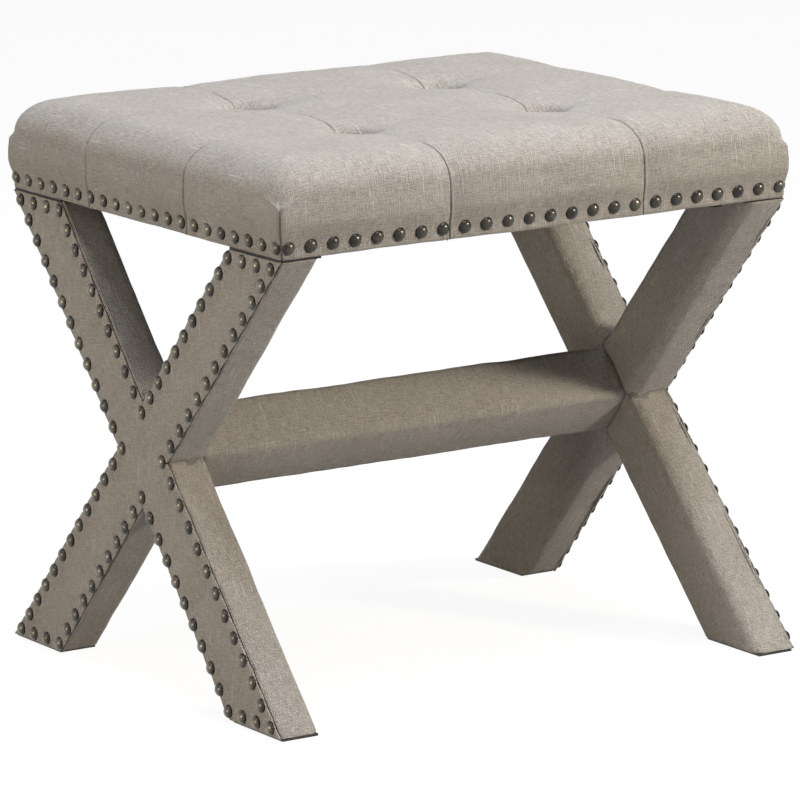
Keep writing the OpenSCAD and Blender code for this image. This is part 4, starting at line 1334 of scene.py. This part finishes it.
BATTING = matted("batting", (0.86, 0.86, 0.83), 3 * MM, 0.8 * MM)
FOAM = matted("foam", (0.86, 0.77, 0.50), 0.8 * MM, 0.3 * MM)
print("batting and foam made")

# %% [markdown]
# The padding carries the seat's form, so it is the seat's formula again. The batting is a thick skin,
# open underneath. The foam is a block, so one face closes it there.

# %% Seat padding
PAD_HEM = [2 * MM]


def close_ring(piece, ring):
    """Close a skin with one face over a ring of its points."""
    work = bmesh.new()
    work.from_mesh(piece.data)
    work.verts.ensure_lookup_table()
    work.faces.new([work.verts[i] for i in ring])
    bmesh.ops.recalc_face_normals(work, faces=work.faces)
    work.to_mesh(piece.data)
    work.free()


batting_inset = LINEN_T + SOFT_GAP
batting_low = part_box("seat_batting")[0].z
batting, _ = seat_skin("seat_batting_wrap", batting_inset, batting_low, 0, PAD_PITCH, BATTING, PAD_HEM)
face_out(batting, lambda c: c - seat_middle)
thicken(batting, BATTING_T)
hand_over(batting, "batting", "seat_batting")

foam_inset = batting_inset + BATTING_T + SOFT_GAP
foam_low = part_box("seat_foam")[0].z
foam, foam_ring = seat_skin("seat_foam_block", foam_inset, foam_low, 0, PAD_PITCH, FOAM, PAD_HEM)
close_ring(foam, foam_ring)
hand_over(foam, "foam", "seat_foam")
print("seat batting", len(batting.data.polygons), "faces, foam", len(foam.data.polygons))

# %% [markdown]
# The frames' and the stretcher's batting are the sections of their linen, drawn in by its thickness.

# %% Leg and stretcher padding
for side, word in SIDES:
    pad = frame_skin(f"{word}_base_batting", side, LINEN_T, 2 * LINEN_T, LINEN_T, BATTING, LEG_PAD)
    hand_over(pad, "batting", f"{word}_base_padding")
    print(pad.name, len(pad.data.polygons), "faces")
bar_pad = stretcher_skin("stretcher_batting", LINEN_T, BATTING, STRETCHER_PAD)
hand_over(bar_pad, "batting", "stretcher_padding")
print(bar_pad.name, len(bar_pad.data.polygons), "faces")

# %% [markdown]
# ## Dust cover
# A thin black non-woven cloth closes the seat underneath. It is stapled tight, so it only ripples a
# little, and its web of fibres shows as faint specks.

# %% Dust cover
DUST_COLUMNS = 80
DUST_ROWS = 70
DUST_LIFT = 0.2 * MM
DUST_T = 0.5 * MM
DUST_WAVE = (0.35 * MM, 40 * MM)


def black_cloth(name):
    f = Finish(name, Roughness=0.9, Specular_IOR_Level=0.15)
    place = f.place()
    web = f.noise(f.scaled(place, 900), detail=3.0, rough=0.7)
    spots = f.node("ShaderNodeTexVoronoi", {}, "Distance", Vector=place, Scale=700.0)
    f.drive("Base Color", f.ramp(web, (0.35, (0.010, 0.010, 0.011)), (0.7, (0.035, 0.035, 0.036))))
    f.bump(spots + web, 0.15 * MM)
    return f.material


BLACK_CLOTH = black_cloth("dust_cloth")


def dust_cover():
    low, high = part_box("dust_cover")
    points, faces = [], []
    for y in np.linspace(low.y, high.y, DUST_ROWS):
        for x in np.linspace(low.x, high.x, DUST_COLUMNS):
            points.append((x, y, low.z + DUST_LIFT))
    for row in range(DUST_ROWS - 1):
        for column in range(DUST_COLUMNS - 1):
            a = column + DUST_COLUMNS * row
            faces.append((a, a + DUST_COLUMNS, a + DUST_COLUMNS + 1, a + 1))
    piece = mesh_object("dust_cover_cloth", points, faces, BLACK_CLOTH)
    ripple(piece, DUST_WAVE)
    thicken(piece, DUST_T)
    hand_over(piece, "dust_cloth", "dust_cover")
    return piece


print("dust cover:", len(dust_cover().data.polygons), "faces")

# %% [markdown]
# ## Wood, steel and plastic
# These pieces keep the construction model's own shape and only get a finish. Wood is rings round the
# length of the plank, stretched far along the grain, and a ply edge shows its layers.

# %% Wood and ply
ALONG_GRAIN = 0.04
PLY_LAYERS = 3 * MM
PINE_PALE, PINE_DARK = (0.66, 0.46, 0.26), (0.44, 0.26, 0.12)
PINE_RINGS = 12 * MM


def wood(name, pale, dark, grain_axis, ring_pitch):
    """Planed timber whose grain runs along one axis of the bench."""
    f = Finish(name, Roughness=0.62)
    stretch = [1 / ring_pitch] * 3
    stretch["XYZ".index(grain_axis)] = ALONG_GRAIN / ring_pitch
    place = f.scaled(f.place(), *stretch)
    rings = f.noise(place, detail=2.0)
    fibres = f.noise(f.scaled(place, 6), detail=3.0)
    tone = f.between(f.maths("SINE", rings * 30) * 0.5 + fibres, 0.2, 1.2)
    f.drive("Base Color", f.ramp(tone, (0, dark), (1, pale)))
    f.bump(fibres, 0.15 * MM)
    return f.material


def plywood(name):
    """Birch ply: thin layers seen on the edge, long grain on the faces."""
    f = Finish(name, Roughness=0.6)
    place = f.place()
    height = f.node("ShaderNodeSeparateXYZ", {}, "Z", Vector=place)
    layers = f.maths("SINE", height * (2 * math.pi / PLY_LAYERS))
    grain = f.noise(f.scaled(place, 12, 220, 220), detail=3.0)
    tone = f.between(layers * 0.25 + grain, 0.2, 0.9)
    f.drive("Base Color", f.ramp(tone, (0, (0.33, 0.20, 0.10)), (1, (0.64, 0.46, 0.27))))
    f.bump(grain, 0.1 * MM)
    return f.material


FINISHES = {
    "pine_x": wood("pine_x", PINE_PALE, PINE_DARK, "X", PINE_RINGS),
    "pine_y": wood("pine_y", PINE_PALE, PINE_DARK, "Y", PINE_RINGS),
    "pine_z": wood("pine_z", PINE_PALE, PINE_DARK, "Z", PINE_RINGS),
    "beech": wood("beech", (0.62, 0.42, 0.25), (0.45, 0.28, 0.15), "X", 4 * MM),
    "plywood": plywood("plywood"),
}
print("wooden finishes:", list(FINISHES))

# %% [markdown]
# Zinc is bright and fine, and the brackets are black with a dull, slightly rough coat. Twine shows its
# twist, and the glides are a hard plastic.

# %% Steel, twine and plastic
TWIST_PITCH = 2.2 * MM


def steel(name, colour, roughness, metallic):
    """Plated or coated steel with a fine, uneven surface."""
    f = Finish(name, Metallic=metallic)
    place = f.place()
    fine = f.noise(f.scaled(place, 900), detail=2.0)
    cloud = f.noise(f.scaled(place, 60))
    tone = fine * 0.5 + cloud * 0.5
    f.drive("Base Color", f.ramp(tone, (0.3, tuple(0.7 * c for c in colour)), (0.7, colour)))
    f.drive("Roughness", roughness + (cloud - 0.5) * 0.3)
    f.bump(fine, 0.05 * MM)
    return f.material


def twisted(name):
    """Waxed twine: two strands wound round each other."""
    f = Finish(name, Roughness=0.75)
    place = f.place()
    height = f.node("ShaderNodeSeparateXYZ", {}, "Z", Vector=place)
    strands = f.maths("SINE", height * (2 * math.pi / TWIST_PITCH))
    fuzz = f.noise(f.scaled(place, 1500))
    f.drive("Base Color", f.ramp(fuzz, (0.3, (0.50, 0.46, 0.36)), (0.7, (0.78, 0.74, 0.62))))
    f.bump(strands * 0.5 + fuzz, 0.2 * MM)
    return f.material


def plastic(name):
    """A hard nylon glide with a moulded grain, scuffed a little."""
    f = Finish(name)
    place = f.place()
    grain = f.noise(f.scaled(place, 1200), detail=2.0)
    scuff = f.noise(f.scaled(place, 150, 40, 150), detail=3.0)
    f.drive("Base Color", f.ramp(scuff, (0.4, (0.012, 0.012, 0.012)), (0.75, (0.05, 0.048, 0.045))))
    f.drive("Roughness", 0.42 + (scuff - 0.5) * 0.5)
    f.bump(grain, 0.05 * MM)
    return f.material


FINISHES["zinc"] = steel("zinc_steel", (0.62, 0.63, 0.64), 0.36, 1.0)
FINISHES["black"] = steel("black_steel", (0.022, 0.021, 0.020), 0.55, 0.3)
FINISHES["twine"] = twisted("twine")
FINISHES["plastic"] = plastic("glide_plastic")
print(len(FINISHES), "hard finishes")

# %% [markdown]
# The model's pieces take their finish by name. Rounded edges catch light on the hard pieces that can be
# seen, so those get a small bevel.

# %% Dress the hard pieces
FINISH_OF = {
    "pine_x": ["front_rail", "back_rail", "stretcher_core"],
    "pine_y": ["left_rail", "right_rail", "left_cleat", "right_cleat", "centre_cleat"],
    "pine_z": [f"{word}_leg_{letter}" for word in ("left", "right") for letter in "ab"],
    "beech": ["stretcher_dowels"],
    "plywood": ["seat_board"],
    "zinc": ["rail_screws", "board_screws", "dust_cover_staples", "tuft_washers", "stretcher_bolts",
             "stretcher_washers", "barrel_nuts"]
            + [f"{word}_{piece}" for word in ("left", "right")
               for piece in ("bracket_bolts", "lap_screws")],
    "black": ["left_brackets", "right_brackets", "left_bracket_screws", "right_bracket_screws"],
    "twine": ["tuft_twine"],
    "plastic": ["left_foot_glides", "right_foot_glides"],
}
BEVELLED = ["left_brackets", "right_brackets", "left_foot_glides", "right_foot_glides"]
BEVEL_W = 0.5 * MM

for finish, names in FINISH_OF.items():
    for name in names:
        node = cad_nodes[name]
        node.data.materials.clear()
        node.data.materials.append(FINISHES[finish])
for name in BEVELLED:
    bevel = cad_nodes[name].modifiers.new("edge", "BEVEL")
    bevel.width = BEVEL_W
    bevel.segments = 2
    bevel.limit_method = "ANGLE"
finished = [name for names in FINISH_OF.values() for name in names]
shown = [name for name, node in cad_nodes.items() if not node.hide_render]
print("pieces without a finish:", [name for name in shown if name not in finished])

# %% [markdown]
